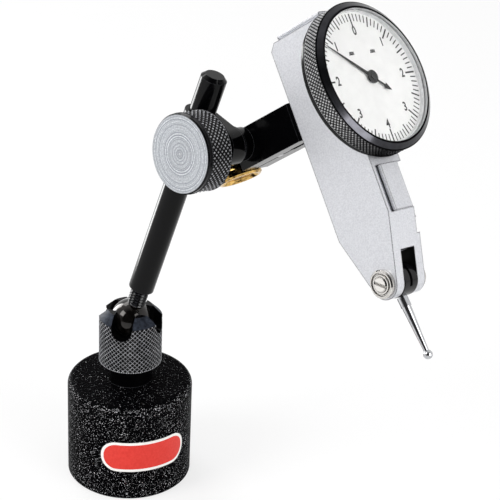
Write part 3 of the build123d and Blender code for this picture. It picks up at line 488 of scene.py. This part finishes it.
# Faced knob end: pale grey steel with the lathe's concentric marks, and darker lines round the
# middle, where the screw's end shows, and round the rim. The marks are drawn coarser than a real
# feed of about 0.1 mm, which is too fine to show
faced_steel, tree, shader = finish("faced steel", "#b0b4b9", metallic=0.3, roughness=0.5)
mm = in_frame(tree, knob_frame)
marks = rings(tree, mm, 0.3)
radius = radius_of(tree, mm)
faced = add(
    tree, "ShaderNodeMix", {"Factor": overlap(tree, marks, grain(tree, mm, 0.35, 0.2, 1.0))},
    {6: colour("#868a91"), 7: colour("#e2e5e8")}, data_type="RGBA",
).outputs[2]
for line in knob_line_radii:
    on_line = inside(tree, radius, line - knob_line_half_width, line + knob_line_half_width)
    faced = add(
        tree, "ShaderNodeMix", {"Factor": on_line, 6: faced},
        {7: colour("#8b8e93")}, data_type="RGBA",
    ).outputs[2]
tree.links.new(faced, shader.inputs["Base Color"])
roughen(tree, shader, grain(tree, mm, 1.5, 0.42, 0.55))
relief(tree, shader, marks, 0.03)

# Bright brass screw: polished, golden, with dark brown smears of old oil
bright_brass, tree, shader = finish("polished brass", "#d8a24a", metallic=1.0, roughness=0.16)
mm = in_frame(tree, frame_at(jaw_screw_point, out, down))
smears = overlap(tree, grain(tree, mm, 1.1, -0.3, 1.0), edges(tree, 0.5, 1.0, 0.1))
tint(tree, shader, smears, "#e8be70", "#2e1a05")
roughen(tree, shader, rings(tree, mm, 0.2, 0.1, 0.22))

# Satin chrome on the case: pale, even, with a very fine blasted grain. Painted shade makes a thin
# dark line along the edges and blackens the inside of the slot for the contact
satin_chrome, tree, shader = finish("satin chrome plate", "#d3d4d8", metallic=0.35, roughness=0.42)
mm = in_frame(tree, dial_frame)
parts = add(tree, "ShaderNodeSeparateXYZ", {0: mm})
# Painted shade: the inside of the contact's slot is tinted near black
slot_edge = slot_half_width + face_margin
slot = overlap(
    tree, inside(tree, parts.outputs[0], -slot_edge, slot_edge),
    inside(tree, parts.outputs[1], -slot_end, -slot_start),
)
plated = add(
    tree, "ShaderNodeMix", {"Factor": grain(tree, mm, 0.35, detail=4.0)},
    {6: colour("#bfc0c5"), 7: colour("#d5d6da")}, data_type="RGBA",
).outputs[2]
# Painted shade: a thin dark line along the edges and corners
edge_shaded = add(
    tree, "ShaderNodeMix", {"Factor": edges(tree, 0.45, 0.0, 1.0), 6: plated},
    {7: colour("#2c2d31")}, data_type="RGBA",
).outputs[2]
blackened = add(
    tree, "ShaderNodeMix", {"Factor": slot, 6: edge_shaded}, {7: colour("#050506")}, data_type="RGBA"
).outputs[2]
tree.links.new(blackened, shader.inputs["Base Color"])
roughen(tree, shader, grain(tree, mm, 1.2, 0.38, 0.48))
relief(tree, shader, grain(tree, mm, 0.12), 0.006)

# Bright nickel on the pivot's rings and screws: mirror-like with a warm tone, and near black along
# its edges and in its corners, which is painted shade
bright_nickel, tree, shader = finish("bright nickel plate", "#c9c5be", metallic=1.0, roughness=0.12)
mm = in_frame(tree, frame_at(pivot_point, out, across))
# Painted shade: near black within 0.42 mm of edges and corners
tint(tree, shader, edges(tree, 0.42, 0.0, 1.0), "#d8d5d1", "#020202")
roughen(tree, shader, rings(tree, mm, 0.12, 0.08, 0.18))

# Gloss black enamel on the dial's housing: smooth, deep and shiny
gloss_enamel, tree, shader = finish(
    "gloss black enamel", "#060607", roughness=0.14, Specular_IOR_Level=0.2
)
mm = in_frame(tree, dial_frame)
tint(tree, shader, grain(tree, mm, 3.0), "#050506", "#0b0b0d")
roughen(tree, shader, grain(tree, mm, 0.9, 0.1, 0.2))

# Black anodised bezel: deep black, with the crests of its knurl worn pale, and painted light and
# shade on them: palest towards the upper left and darkest towards the bottom
lit_side = (-0.7, 0.7, 0.0)
lit_from = -8.5
lit_full = 5.0
shaded_share = 0.004
bezel_wear = (0.1, 0.8)
bezel_band = (
    bezel_radius, bezel_back + bezel_edge, bezel_shoulder - bezel_edge, min, bezel_knurl_pitch
)
bezel_anodise, tree, shader = finish(
    "black anodised aluminium, knurled", "#08080a", roughness=0.25, Specular_IOR_Level=0.02
)
mm = in_frame(tree, dial_frame)
# Painted light and shade: the crests grow paler towards the upper left and darker towards the
# bottom
towards_lit_side = add(
    tree, "ShaderNodeVectorMath", {0: mm}, {1: lit_side}, operation="DOT_PRODUCT"
).outputs["Value"]
painted_side_light = add(
    tree, "ShaderNodeMapRange", {"Value": towards_lit_side},
    {"From Min": lit_from, "From Max": lit_full, "To Min": shaded_share, "To Max": 1.0},
).outputs[0]
wear_and_painted_light = overlap(
    tree, crests(tree, mm, bezel_band, *bezel_wear), painted_side_light, grain(tree, mm, 0.9, 0.5, 1.0)
)
tint(tree, shader, wear_and_painted_light, "#030304", "#f2f2f4")
roughen(tree, shader, grain(tree, mm, 0.9, 0.14, 0.28))

# The bezel's front band: the same anodising, polished, so that it mirrors the lamps
rim_anodise, tree, shader = finish(
    "black anodised aluminium, polished", "#323236", metallic=0.9, roughness=0.12
)
mm = in_frame(tree, dial_frame)
tint(tree, shader, grain(tree, mm, 1.5), "#2d2d30", "#37373b")
roughen(tree, shader, rings(tree, mm, 0.15, 0.1, 0.18))

# Dial enamel: matt white, the least bit uneven
dial_enamel, tree, shader = finish(
    "matt white dial enamel", "#e0e0df", roughness=0.6, Specular_IOR_Level=0.05
)
mm = in_frame(tree, dial_frame)
tint(tree, shader, grain(tree, mm, 2.2, detail=4.0), "#dddddc", "#e3e3e2")
relief(tree, shader, grain(tree, mm, 0.2), 0.002)

# Printing ink on the dial: dense black, and barely shiny
dial_ink, tree, shader = finish("black dial ink", "#0c0c0d", roughness=0.5)
mm = in_frame(tree, dial_frame)
tint(tree, shader, grain(tree, mm, 0.5), "#070708", "#121214")

# Polished ring inside the bezel: bright, with fine lathe marks round its bore
polished_rim, tree, shader = finish("polished aluminium", "#d9dadb", metallic=0.25, roughness=0.3)
mm = in_frame(tree, dial_frame)
roughen(tree, shader, grain(tree, stretched(tree, mm, (0.3, 0.3, 4)), 0.5, 0.22, 0.4))

# Clear acrylic crystal: colourless and hardly seen, and the lamps shine through it on the dial.
# Its IOR is under acrylic's own 1.49, because the real one mirrors little of what is round it
clear_acrylic, tree, shader = finish(
    "clear acrylic", "#ffffff", roughness=0.0, Transmission_Weight=1.0, IOR=1.12
)
mm = in_frame(tree, dial_frame)
tint(tree, shader, grain(tree, mm, 4.0), "#fcfcfc", "#ffffff")
shadow = add(tree, "ShaderNodeLightPath").outputs["Is Shadow Ray"]
solid = add(tree, "ShaderNodeMath", {1: shadow}, {0: 1.0}, operation="SUBTRACT").outputs[0]
tree.links.new(solid, shader.inputs["Alpha"])

# Lapped lever steel: grey, fine cross lines
lapped_steel, tree, shader = finish("lapped steel", "#a5a6a9", metallic=1.0, roughness=0.25)
mm = in_frame(tree, dial_frame)
tint(tree, shader, grain(tree, stretched(tree, mm, (1, 0.1, 1)), 0.1), "#97989c", "#b3b4b7")

# Contact point: hard polished steel with dark streaks along it
polished_steel, tree, shader = finish("polished hard steel", "#b9babd", metallic=1.0, roughness=0.1)
mm = in_frame(tree, dial_frame)
tint(tree, shader, grain(tree, stretched(tree, mm, (1, 0.15, 1)), 0.5), "#a8a9ad", "#c6c7c9")
roughen(tree, shader, grain(tree, mm, 0.7, 0.07, 0.15))

# Movement brass: brushed plates and wheels
brushed_brass, tree, shader = finish("brushed brass", "#c9a45a", metallic=1.0, roughness=0.32)
mm = in_frame(tree, dial_frame)
tint(tree, shader, grain(tree, stretched(tree, mm, (1, 0.08, 1)), 0.12), "#bb954c", "#d6b36c")

# Synthetic ruby jewels: deep clear red
ruby, tree, shader = finish(
    "synthetic ruby", "#9c1233", roughness=0.05, Transmission_Weight=0.6, IOR=1.77
)
mm = in_frame(tree, dial_frame)
tint(tree, shader, grain(tree, mm, 0.4), "#8c0e2c", "#b01a3f")

# Pointer: blackened steel strip, matt
blackened_strip, tree, shader = finish(
    "blackened steel strip", "#0a0a0b", metallic=0.2, roughness=0.4
)
mm = in_frame(tree, dial_frame)
roughen(tree, shader, grain(tree, mm, 0.6, 0.32, 0.5))

# Contact hub: gloss black oxide with lathe rings
hub_oxide, tree, shader = finish(
    "gloss black oxide", "#060607", roughness=0.2, Specular_IOR_Level=0.25
)
mm = in_frame(tree, frame_at(pivot_point, out, across))
tint(tree, shader, rings(tree, mm, 0.25), "#050506", "#0f0f12")
roughen(tree, shader, grain(tree, mm, 0.5, 0.15, 0.28))

# Label: red and white vinyl print, slightly glossy
red_vinyl, tree, shader = finish(
    "red vinyl print", "#dc3a31", roughness=0.35, Specular_IOR_Level=0.2
)
mm = in_frame(tree, base_frame)
tint(tree, shader, grain(tree, mm, 0.6), "#d7362d", "#e03f36")
relief(tree, shader, grain(tree, mm, 0.5), 0.01)
white_vinyl, tree, shader = finish("white vinyl", "#f3f1ee", roughness=0.35)
mm = in_frame(tree, base_frame)
tint(tree, shader, grain(tree, mm, 0.6), "#efece8", "#f7f5f2")

# The finish of each piece of the CAD model that is shown as it is
coats = {
    magnet_alloy: ["magnet"],
    ground_steel: ["pole_piece", "housing_screws", "cover_screws", "fulcrum_pin"],
    turned_brass: ["spacer_ring"],
    black_oxide: ["socket_stud", "post_rod", "snug_block", "near_jaw", "far_jaw", "swivel_washer"],
    polished_ball: ["ball_stud"],
    faced_steel: ["clamp_screw"],
    bright_brass: ["jaw_screw"],
    satin_chrome: ["case", "side_cover"],
    gloss_enamel: ["dial_housing"],
    dial_enamel: ["dial_face"],
    clear_acrylic: ["crystal"],
    polished_rim: ["dial_retainer", "crystal_gasket"],
    lapped_steel: [
        "measuring_lever", "pivot_shaft", "drive_pin", "sector_arbor", "crown_pinion",
        "friction_washers", "centre_pinion",
    ],
    polished_steel: ["contact_point", "contact_ball"],
    hub_oxide: ["contact_hub"],
    brushed_brass: [
        "sector_gear", "crown_wheel", "movement_bridge", "bridge_pillars", "centre_bracket",
        "hairspring_collet", "hairspring_stud", "hairspring",
    ],
    ruby: ["jewels"],
    blackened_strip: ["pointer", "pointer_hub"],
}
for material, names in coats.items():
    for name in names:
        for slot in frame["nodes"][name].material_slots:
            slot.material = material


# Turned pieces with a diamond knurl


def crest(phase):
    """Height of a V-cut knurl between two crests, from 0 in the cut to 1 on the crest."""
    return abs(2 * (phase - math.floor(phase)) - 1)


def turned(name, profile, knurl=None, steps=192):
    """Revolve a closed profile of (radius, height) points. knurl gives a band's radius, foot, top,
    kind and pitch: min leaves pyramids between V cuts, max leaves pits between ridges. The pitch is
    measured round the band, and the quads are split so that their ridges or cuts stay straight."""
    if knurl:
        band_radius, band_foot, band_top, kind, pitch = knurl
        steps = 4 * round(2 * math.pi * band_radius / pitch)
        band_height = band_top - band_foot
        rows = max(4, round(4 * band_height / pitch))
        inner = [(band_radius, band_foot + band_height * row / rows) for row in range(rows + 1)]
        on_band = [abs(radius - band_radius) < same_place for radius, height in profile]
        start = on_band.index(True)
        if profile[start + 1][1] < profile[start][1]:
            inner.reverse()
        profile = profile[:start] + inner + profile[start + 2:]
    mesh = bpy.data.meshes.new(name)
    points = []
    for step in range(steps):
        turn = 2 * math.pi * step / steps
        for radius, height in profile:
            if knurl and abs(radius - band_radius) < same_place:
                if band_foot + same_place < height < band_top - same_place:
                    row = rows * (height - band_foot) / band_height
                    lift = kind(crest((step + row) / 4), crest((step - row) / 4))
                    radius = band_radius - knurl_depth * (1 - lift)
            points.append((radius * math.cos(turn), radius * math.sin(turn), height))
    count = len(profile)
    faces = []
    for step in range(steps):
        this = step * count
        after = (step + 1) % steps * count
        for i in range(count):
            j = (i + 1) % count
            a, b, c, d = corners = (this + i, after + i, after + j, this + j)
            if knurl:
                reach = [math.hypot(*points[corner][:2]) for corner in corners]
                first = reach[0] + reach[2]
                if kind(first, reach[1] + reach[3]) == first:
                    faces += [(a, b, c), (a, c, d)]
                else:
                    faces += [(a, b, d), (b, c, d)]
            else:
                faces.append(corners)
    mesh.from_pydata(points, [], faces)
    mesh.update()
    if min(radius for radius, height in profile) == 0:
        shape = bmesh.new()
        shape.from_mesh(mesh)
        bmesh.ops.remove_doubles(shape, verts=shape.verts, dist=weld)
        bmesh.ops.dissolve_degenerate(shape, dist=weld, edges=shape.edges)
        shape.to_mesh(mesh)
        shape.free()
    return mesh


def carved(mesh, cutters):
    """The mesh with each closed cutter taken out of it."""
    body = bpy.data.objects.new("blank", mesh)
    bpy.context.scene.collection.objects.link(body)
    tools = []
    for cutter in cutters:
        tool = bpy.data.objects.new("tool", cutter)
        bpy.context.scene.collection.objects.link(tool)
        cut = body.modifiers.new("cut", "BOOLEAN")
        cut.operation = "DIFFERENCE"
        cut.solver = "EXACT"
        cut.object = tool
        tools.append(tool)
    bpy.context.view_layer.update()
    shown = body.evaluated_get(bpy.context.evaluated_depsgraph_get())
    result = bpy.data.meshes.new_from_object(shown)
    for used in [body, *tools]:
        bpy.data.objects.remove(used)
    return result


def prism(outline, place, length):
    """A closed prism: an outline in the frame's xy plane, carried along its z axis both ways."""
    shape = bmesh.new()
    ends = []
    for height in (-length, length):
        ring = [shape.verts.new((x, y, height)) for x, y in outline]
        ends.append(shape.faces.new(ring))
    foot, top = [list(face.verts) for face in ends]
    for i in range(len(outline)):
        j = (i + 1) % len(outline)
        shape.faces.new((foot[i], foot[j], top[j], top[i]))
    bmesh.ops.recalc_face_normals(shape, faces=shape.faces)
    shape.transform(place)
    mesh = bpy.data.meshes.new("prism")
    shape.to_mesh(mesh)
    shape.free()
    return mesh


# Lock nut: a hollow for the ball above the thread's bore, and two slots across the top

ball_height = ball_centre.z * 1000
hollow_steps = 8
hollow = []
for step in range(hollow_steps + 1):
    height = nut_bore_top + (nut_top - nut_bore_top) * step / hollow_steps
    hollow.append((math.sqrt(nut_hollow**2 - (height - ball_height) ** 2), height))
nut_profile = [
    (nut_bore, nut_foot),
    (nut_radius - nut_foot_chamfer, nut_foot),
    (nut_radius, nut_foot + nut_foot_chamfer),
    (nut_radius, nut_top - nut_chamfer),
    (nut_radius - nut_chamfer, nut_top),
    *reversed(hollow),
    (nut_bore, nut_bore_top),
]
slot_reach = nut_slot_width / 2
slot_outline = [(-slot_reach, nut_slot_over), (slot_reach, nut_slot_over)]
slot_steps = 16
for step in range(slot_steps + 1):
    turn = -math.pi * step / slot_steps
    slot_outline.append((slot_reach * math.cos(turn), slot_reach * math.sin(turn)))
slot_cutters = []
for heading in (lean_dir, lean_side):
    side = up.cross(heading)
    turn = Matrix((side, up, heading)).transposed().to_4x4()
    slot_place = Matrix.Translation((0, 0, nut_slot_floor + slot_reach)) @ turn
    slot_cutters.append(prism(slot_outline, slot_place, 2 * nut_radius))
nut_mesh = turned("lock nut", nut_profile, nut_band)
nut_mesh = carved(nut_mesh, slot_cutters)
nut = piece(
    "knurled_lock_nut", "lock_nut", nut_mesh, nut_oxide, base_frame, knurl_crease
)
nut_mesh.materials.append(blued_chamfer)
nut_mesh.materials.append(black_oxide)
for face in nut_mesh.polygons:
    reach = math.hypot(face.center.x, face.center.y) * 1000
    if face.center.z * 1000 < nut_foot + nut_foot_chamfer:
        face.material_index = 2
    elif reach < nut_radius - knurl_depth - face_margin:
        cone = nut_radius + nut_top - nut_chamfer - face.center.z * 1000
        face.material_index = 1 if abs(reach - cone) < face_margin else 2
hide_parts("lock_nut")

# Base housing: a well for the magnet and a rounded upper edge

base_profile = [
    (0.0, base_bore_foot),
    (0.0, base_well_top),
    (base_well_radius, base_well_top),
    (base_well_radius, 0.0),
    (base_radius - base_foot_chamfer, 0.0),
    (base_radius, base_foot_chamfer),
]
round_steps = 10
for step in range(round_steps + 1):
    turn = math.pi / 2 * step / round_steps
    radius = base_radius - base_top_round * (1 - math.cos(turn))
    base_profile.append((radius, base_height - base_top_round * (1 - math.sin(turn))))
base_profile += [(base_bore, base_height), (base_bore, base_bore_foot)]
housing_mesh = turned("housing", base_profile)
housing = piece(
    "enamelled_housing", "base", housing_mesh, wrinkle_enamel, base_frame,
    turned_crease,
)
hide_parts("base_housing")

# Thread on the ball's neck: a sleeve sunk in the neck, with its outer points lifted to a helix

thread_height = neck_thread_top - neck_thread_foot
rows_in_a_pitch = 10
rows = round(thread_height / neck_thread_pitch * rows_in_a_pitch)
thread_root = neck_radius - neck_thread_root
thread_profile = [(thread_root, neck_thread_top), (thread_root, neck_thread_foot)]
for row in range(rows + 1):
    height = neck_thread_foot + thread_height * row / rows
    thread_profile.append((neck_radius + neck_thread_skin, height))
thread_mesh = turned("neck thread", thread_profile, steps=64)
for vertex in thread_mesh.vertices:
    x, y, height = vertex.co
    if math.hypot(x, y) > neck_radius and neck_thread_foot < height < neck_thread_top:
        lift = crest(height / neck_thread_pitch - math.atan2(y, x) / (2 * math.pi))
        grown = 1 + neck_thread_depth * lift / neck_radius
        vertex.co = (x * grown, y * grown, height)
piece(
    "neck_thread", "ball_stud", thread_mesh, black_oxide, post_frame, thread_crease
)

# Clamp knob: a knurled rim, a pale faced end and a short hub

knob_profile = [
    (knob_bore, knob_hub_back),
    (knob_hub_radius, knob_hub_back),
    (knob_hub_radius, knob_back),
    (knob_radius - knob_edge, knob_back),
    (knob_radius, knob_back + knob_edge),
    (knob_radius, knob_face - knob_rim),
    (knob_radius - knob_rim_step, knob_face - knob_rim),
    (knob_radius - knob_rim_step, knob_face - knob_edge),
    (knob_radius - knob_edge, knob_face),
    (knob_bore, knob_face),
]
knob_mesh = turned("clamp knob", knob_profile, knob_band)
knob = piece(
    "knurled_clamp_knob", "clamp_knob", knob_mesh, knob_oxide, knob_frame,
    knurl_crease,
)
knob_mesh.materials.append(faced_steel)
knob_mesh.materials.append(black_oxide)
for face in knob_mesh.polygons:
    height = (face.center - swivel_point).dot(-across) * 1000
    if height > knob_face - face_margin / 2:
        face.material_index = 1
    elif height > knob_face - knob_rim:
        face.material_index = 2
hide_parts("clamp_knob")

# Bezel: a knurled band, a step, and a sloping front band round the crystal

bezel_profile = [
    (bezel_bore, bezel_back),
    (bezel_radius - bezel_edge, bezel_back),
    (bezel_radius, bezel_back + bezel_edge),
    (bezel_radius, bezel_shoulder - bezel_edge),
    (bezel_radius - bezel_step, bezel_shoulder - bezel_edge),
    (bezel_radius - bezel_step, bezel_shoulder),
    (bezel_front_radius, bezel_front),
    (bezel_lip_radius, bezel_front),
    (bezel_lip_radius, bezel_lip_back),
    (bezel_bore, bezel_lip_back),
]
bezel_mesh = turned("bezel", bezel_profile, bezel_band)
bezel = piece(
    "knurled_bezel", "bezel", bezel_mesh, bezel_anodise, dial_frame, knurl_crease
)
bezel_mesh.materials.append(polished_rim)
bezel_mesh.materials.append(rim_anodise)
for face in bezel_mesh.polygons:
    spot = dial_frame.inverted() @ face.center
    reach = math.hypot(spot.x, spot.y)
    if reach < bezel_bore + face_margin and spot.z < bezel_front - face_margin / 2:
        face.material_index = 1
    elif reach > bezel_front_radius and spot.z > bezel_shoulder:
        face.material_index = 2
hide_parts("bezel")

# Pivot: a slotted screw and a smooth lock ring with a turned groove on either cheek

ring_face = case_half_width + lock_ring_thickness
screw_face = case_half_width + pivot_screw_proud
ring_profile = [
    (pivot_screw_radius + lock_ring_gap, case_half_width),
    (lock_ring_radius, case_half_width),
    (lock_ring_radius, ring_face - lock_ring_edge),
    (lock_ring_radius - lock_ring_edge, ring_face),
    (groove_outer, ring_face),
    (groove_outer_floor, ring_face - groove_depth),
    (groove_inner_floor, ring_face - groove_depth),
    (groove_inner, ring_face),
    (pivot_screw_radius + lock_ring_gap, ring_face),
]
screw_profile = [
    (0.0, slot_half_width + pivot_socket_depth),
    (pivot_shaft_bore, slot_half_width + pivot_socket_depth),
    (pivot_shaft_bore, slot_half_width),
    (pivot_screw_radius, slot_half_width),
    (pivot_screw_radius, screw_face - pivot_screw_edge),
    (pivot_screw_radius - pivot_screw_edge, screw_face),
    (0.0, screw_face),
]
slot_corners = [
    (-screw_slot_width / 2, screw_face - screw_slot_depth),
    (screw_slot_width / 2, screw_face - screw_slot_depth),
    (screw_slot_width / 2, screw_face + screw_slot_over),
    (-screw_slot_width / 2, screw_face + screw_slot_over),
]
for side, cheek in ((-1, "near"), (1, "far")):
    cheek_frame = frame_at(pivot_point, out, across * side)
    turn = math.radians(screw_slot_turn) * side
    along = Vector((math.cos(turn), math.sin(turn), 0))
    slot_turn = Matrix((up.cross(along), up, along)).transposed().to_4x4()
    screw_mesh = turned("pivot screw", screw_profile, steps=64)
    screw_mesh = carved(screw_mesh, [prism(slot_corners, slot_turn, screw_slot_reach)])
    screw = piece(
        f"slotted_pivot_screw_{cheek}", "indicator",
        screw_mesh, bright_nickel, cheek_frame, turned_crease,
    )
    ring_mesh = turned("lock ring", ring_profile, steps=96)
    ring = piece(
        f"turned_lock_ring_{cheek}", "indicator",
        ring_mesh, bright_nickel, cheek_frame, turned_crease,
    )
    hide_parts("pivot_screws")
    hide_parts("lock_rings")

# Dial print: graduations and numerals, raised a little off the enamel


def print_block(shape, inner, outer, half_width, heading):
    """A thin printed bar that points to the dial's centre. heading is clockwise from the top."""
    turn = Matrix.Rotation(-math.radians(heading), 4, "Z")
    corners = [(-half_width, inner), (half_width, inner), (half_width, outer), (-half_width, outer)]
    foot = [shape.verts.new(turn @ Vector((x, y, 0.0))) for x, y in corners]
    top = [shape.verts.new(turn @ Vector((x, y, print_height))) for x, y in corners]
    shape.faces.new(reversed(foot))
    shape.faces.new(top)
    for i in range(4):
        shape.faces.new((foot[i], foot[(i + 1) % 4], top[(i + 1) % 4], top[i]))


marks = bmesh.new()
for tick in range(tick_count):
    kind = 10 if tick % 10 == 0 else 5 if tick % 5 == 0 else 1
    tick_inner = tick_outer - tick_lengths[kind]
    heading = tick * 360 / tick_count
    print_block(marks, tick_inner, tick_outer, tick_widths[kind] / 2, heading)
marks_mesh = bpy.data.meshes.new("graduations")
marks.to_mesh(marks_mesh)
marks.free()
piece("dial_graduations", "bezel", marks_mesh, dial_ink, dial_frame)


def lettering(name, text, size, x, y):
    """A printed number, upright on the dial and centred on a point of it."""
    curve = bpy.data.curves.new(name, "FONT")
    curve.body = text
    curve.size = size
    curve.align_x = "CENTER"
    curve.align_y = "CENTER"
    curve.extrude = print_height / 2
    curve.offset = numeral_stroke
    text_object = bpy.data.objects.new(name, curve)
    bpy.context.scene.collection.objects.link(text_object)
    bpy.context.view_layer.update()
    shown = text_object.evaluated_get(bpy.context.evaluated_depsgraph_get())
    mesh = bpy.data.meshes.new_from_object(shown)
    bpy.data.objects.remove(text_object)
    narrowed = Matrix.Diagonal((print_narrowing, 1, 1, 1))
    mesh.transform(Matrix.Translation((x, y, print_height / 2)) @ narrowed)
    piece(name, "bezel", mesh, dial_ink, dial_frame)


for eighth in range(8):
    turn = math.radians(eighth * 45)
    number = str(min(eighth, 8 - eighth))
    x = numeral_radius * math.sin(turn)
    y = numeral_radius * math.cos(turn)
    lettering(f"numeral_{eighth}", number, numeral_size, x, y)
for side in (-1, 1):
    lettering(f"graduation_value_{side + 2}", ".0001", value_size, side * value_aside, value_above)

# Label on the base: a plain red field with rounded ends and a white border


def label_mesh(name, inset, rise):
    """A thin plate with rounded ends, wrapped round the base: inset from the label's outline and
    risen off the base, with its foot sunk in the enamel."""
    half_width = label_half_width - inset
    half_height = label_half_height - inset
    corner = label_corner - inset
    shape = bmesh.new()
    lines = []
    for column in range(label_columns + 1):
        x = half_width * math.cos(math.pi * (1 - column / label_columns))
        past = max(0.0, (abs(x) - half_width + corner) / corner)
        reach = half_height - corner + corner * math.sqrt(max(0.0, 1 - past**2))
        shares = [1 - 2 * row / label_rows for row in range(label_rows + 1)]
        lines.append([(x, label_height - reach * share) for share in shares])
    verts = []
    for line in lines:
        loop = []
        for x, z in line:
            turn = math.radians(label_heading) + x / base_radius
            for radius in (base_radius - label_root, base_radius + rise):
                spot = (radius * math.cos(turn), radius * math.sin(turn), z)
                loop.append(shape.verts.new(spot))
        verts.append(loop)
    for a, b in zip(verts, verts[1:]):
        for i in range(0, 2 * label_rows, 2):
            shape.faces.new((a[i + 1], b[i + 1], b[i + 3], a[i + 3]))
            shape.faces.new((a[i], a[i + 2], b[i + 2], b[i]))
        shape.faces.new((a[0], b[0], b[1], a[1]))
        shape.faces.new((a[-2], a[-1], b[-1], b[-2]))
    bmesh.ops.remove_doubles(shape, verts=shape.verts, dist=label_weld)
    bmesh.ops.dissolve_degenerate(shape, dist=label_weld, edges=shape.edges)
    bmesh.ops.recalc_face_normals(shape, faces=shape.faces)
    mesh = bpy.data.meshes.new(name)
    shape.to_mesh(mesh)
    shape.free()
    return mesh


white_plate = label_mesh("label border", 0.0, label_border_rise)
piece("label_border", "base", white_plate, white_vinyl, base_frame, turned_crease)
red_plate = label_mesh("label field", label_border, label_field_rise)
piece("label_field", "base", red_plate, red_vinyl, base_frame, turned_crease)

# Floor, lamps, sky and camera

image_width = 500
sensor_width = 36.0
floor_reach = 3.0
floor_drop = 0.00002
floor_glow = 0.7

# Floor: matt and nearly white, with a share of its own light so that its far side stays white
floor_paint, tree, shader = finish("pale studio floor", "#f4f4f4", roughness=0.9)
shader.inputs["Specular IOR Level"].default_value = 0.0
rays = add(tree, "ShaderNodeLightPath").outputs["Is Camera Ray"]
share = add(tree, "ShaderNodeMath", {0: rays}, {1: floor_glow}, operation="MULTIPLY").outputs[0]
glow = add(tree, "ShaderNodeEmission", (), {"Color": (1, 1, 1, 1), "Strength": 1.0})
mixed = add(tree, "ShaderNodeMixShader", {0: share, 1: shader.outputs[0], 2: glow.outputs[0]})
tree.links.new(mixed.outputs[0], tree.nodes["Material Output"].inputs["Surface"])
floor_mesh = bpy.data.meshes.new("floor")
floor_signs = ((-1, -1), (1, -1), (1, 1), (-1, 1))
floor_corners = [(x * floor_reach, y * floor_reach, 0) for x, y in floor_signs]
floor_mesh.from_pydata(floor_corners, [], [(0, 1, 2, 3)])
floor_mesh.materials.append(floor_paint)
floor = bpy.data.objects.new("floor", floor_mesh)
floor.location.z = -floor_drop
bpy.context.scene.collection.objects.link(floor)

# The sky is white, but gloss also sees the dark room behind the camera
room_side = Vector((0.0, -0.9, 0.43))
room_edge = 0.35
room_middle = 0.75
room_light = 0.04
sky_light = 0.55
world = bpy.data.worlds.new("soft white sky")
bpy.context.scene.world = world
world.use_nodes = True
sky = world.node_tree.nodes["Background"]
sky.inputs["Color"].default_value = (1, 1, 1, 1)
tree = world.node_tree
path = add(tree, "ShaderNodeLightPath").outputs
direction = add(tree, "ShaderNodeTexCoord").outputs["Generated"]
towards_room = add(
    tree, "ShaderNodeVectorMath", {0: direction}, {1: room_side}, operation="DOT_PRODUCT"
).outputs["Value"]
mirrored = add(
    tree, "ShaderNodeMapRange", {"Value": towards_room},
    {"From Min": room_edge, "From Max": room_middle, "To Min": 1.0, "To Max": room_light},
).outputs[0]
seen = add(
    tree, "ShaderNodeMath", {0: path["Is Camera Ray"], 1: path["Is Transmission Ray"]},
    operation="MAXIMUM",
).outputs[0]
strength = add(
    tree, "ShaderNodeMapRange", {"Value": seen}, {"To Min": sky_light, "To Max": 1.0}
).outputs[0]
mixed = add(
    tree, "ShaderNodeMix", {"Factor": path["Is Glossy Ray"], 2: strength, 3: mirrored},
    data_type="FLOAT",
).outputs[0]
tree.links.new(mixed, sky.inputs["Strength"])


def softbox(name, place, target, width, height, power, gloss_only=False):
    """A rectangular lamp that faces target, its size in metres and its power in watts. With
    gloss_only it makes highlights and lights nothing."""
    lamp = bpy.data.lights.new(name, "AREA")
    lamp.shape = "RECTANGLE"
    lamp.size = width
    lamp.size_y = height
    lamp.energy = power
    obj = bpy.data.objects.new(name, lamp)
    obj.location = place
    obj.visible_camera = False
    obj.visible_diffuse = not gloss_only
    obj.visible_transmission = not gloss_only
    obj.rotation_euler = (Vector(target) - Vector(place)).to_track_quat("-Z", "Y").to_euler()
    bpy.context.scene.collection.objects.link(obj)


# Three soft boxes light the object, and two strips only make the highlights on the bezel's front
# band and on the round black pieces
middle = (0.03, 0.0, 0.07)
softbox("softbox left", (-0.55, -0.30, 0.55), middle, 0.35, 0.35, 3.2)
softbox("softbox right", (0.60, -0.45, 0.50), middle, 0.45, 0.45, 2.6)
softbox("softbox back", (-0.30, 0.45, 0.75), middle, 0.4, 0.4, 2.4)
softbox("strip right", (0.446, -0.326, 0.162), dial_centre, 0.3, 0.2, 1.9, gloss_only=True)
softbox("strip left", (-0.15, 0.12, 0.10), (0.02, 0.0, 0.08), 0.08, 0.2, 0.6, gloss_only=True)

# Camera: the photograph's own, as fitted to the base and the post
camera_focal_px = 1623.08
camera_place = Vector((0.02906, -0.35496, 0.24411))
camera_pitch = math.radians(26.822)
camera_roll = math.radians(2.754)
flat_right = Vector((1, 0, 0))
flat_up = Vector((0, math.sin(camera_pitch), math.cos(camera_pitch)))
ahead = Vector((0, math.cos(camera_pitch), -math.sin(camera_pitch)))
right = flat_right * math.cos(camera_roll) + flat_up * math.sin(camera_roll)
top = -flat_right * math.sin(camera_roll) + flat_up * math.cos(camera_roll)
camera_data = bpy.data.cameras.new("camera")
camera_data.sensor_width = sensor_width
camera_data.lens = sensor_width * camera_focal_px / image_width
camera_data.clip_start = 0.01
camera = bpy.data.objects.new("camera", camera_data)
camera_turn = Matrix((right, top, -ahead)).transposed().to_4x4()
camera.matrix_world = Matrix.Translation(camera_place) @ camera_turn
bpy.context.scene.collection.objects.link(camera)
bpy.context.scene.camera = camera
bpy.context.scene.view_settings.view_transform = "Standard"
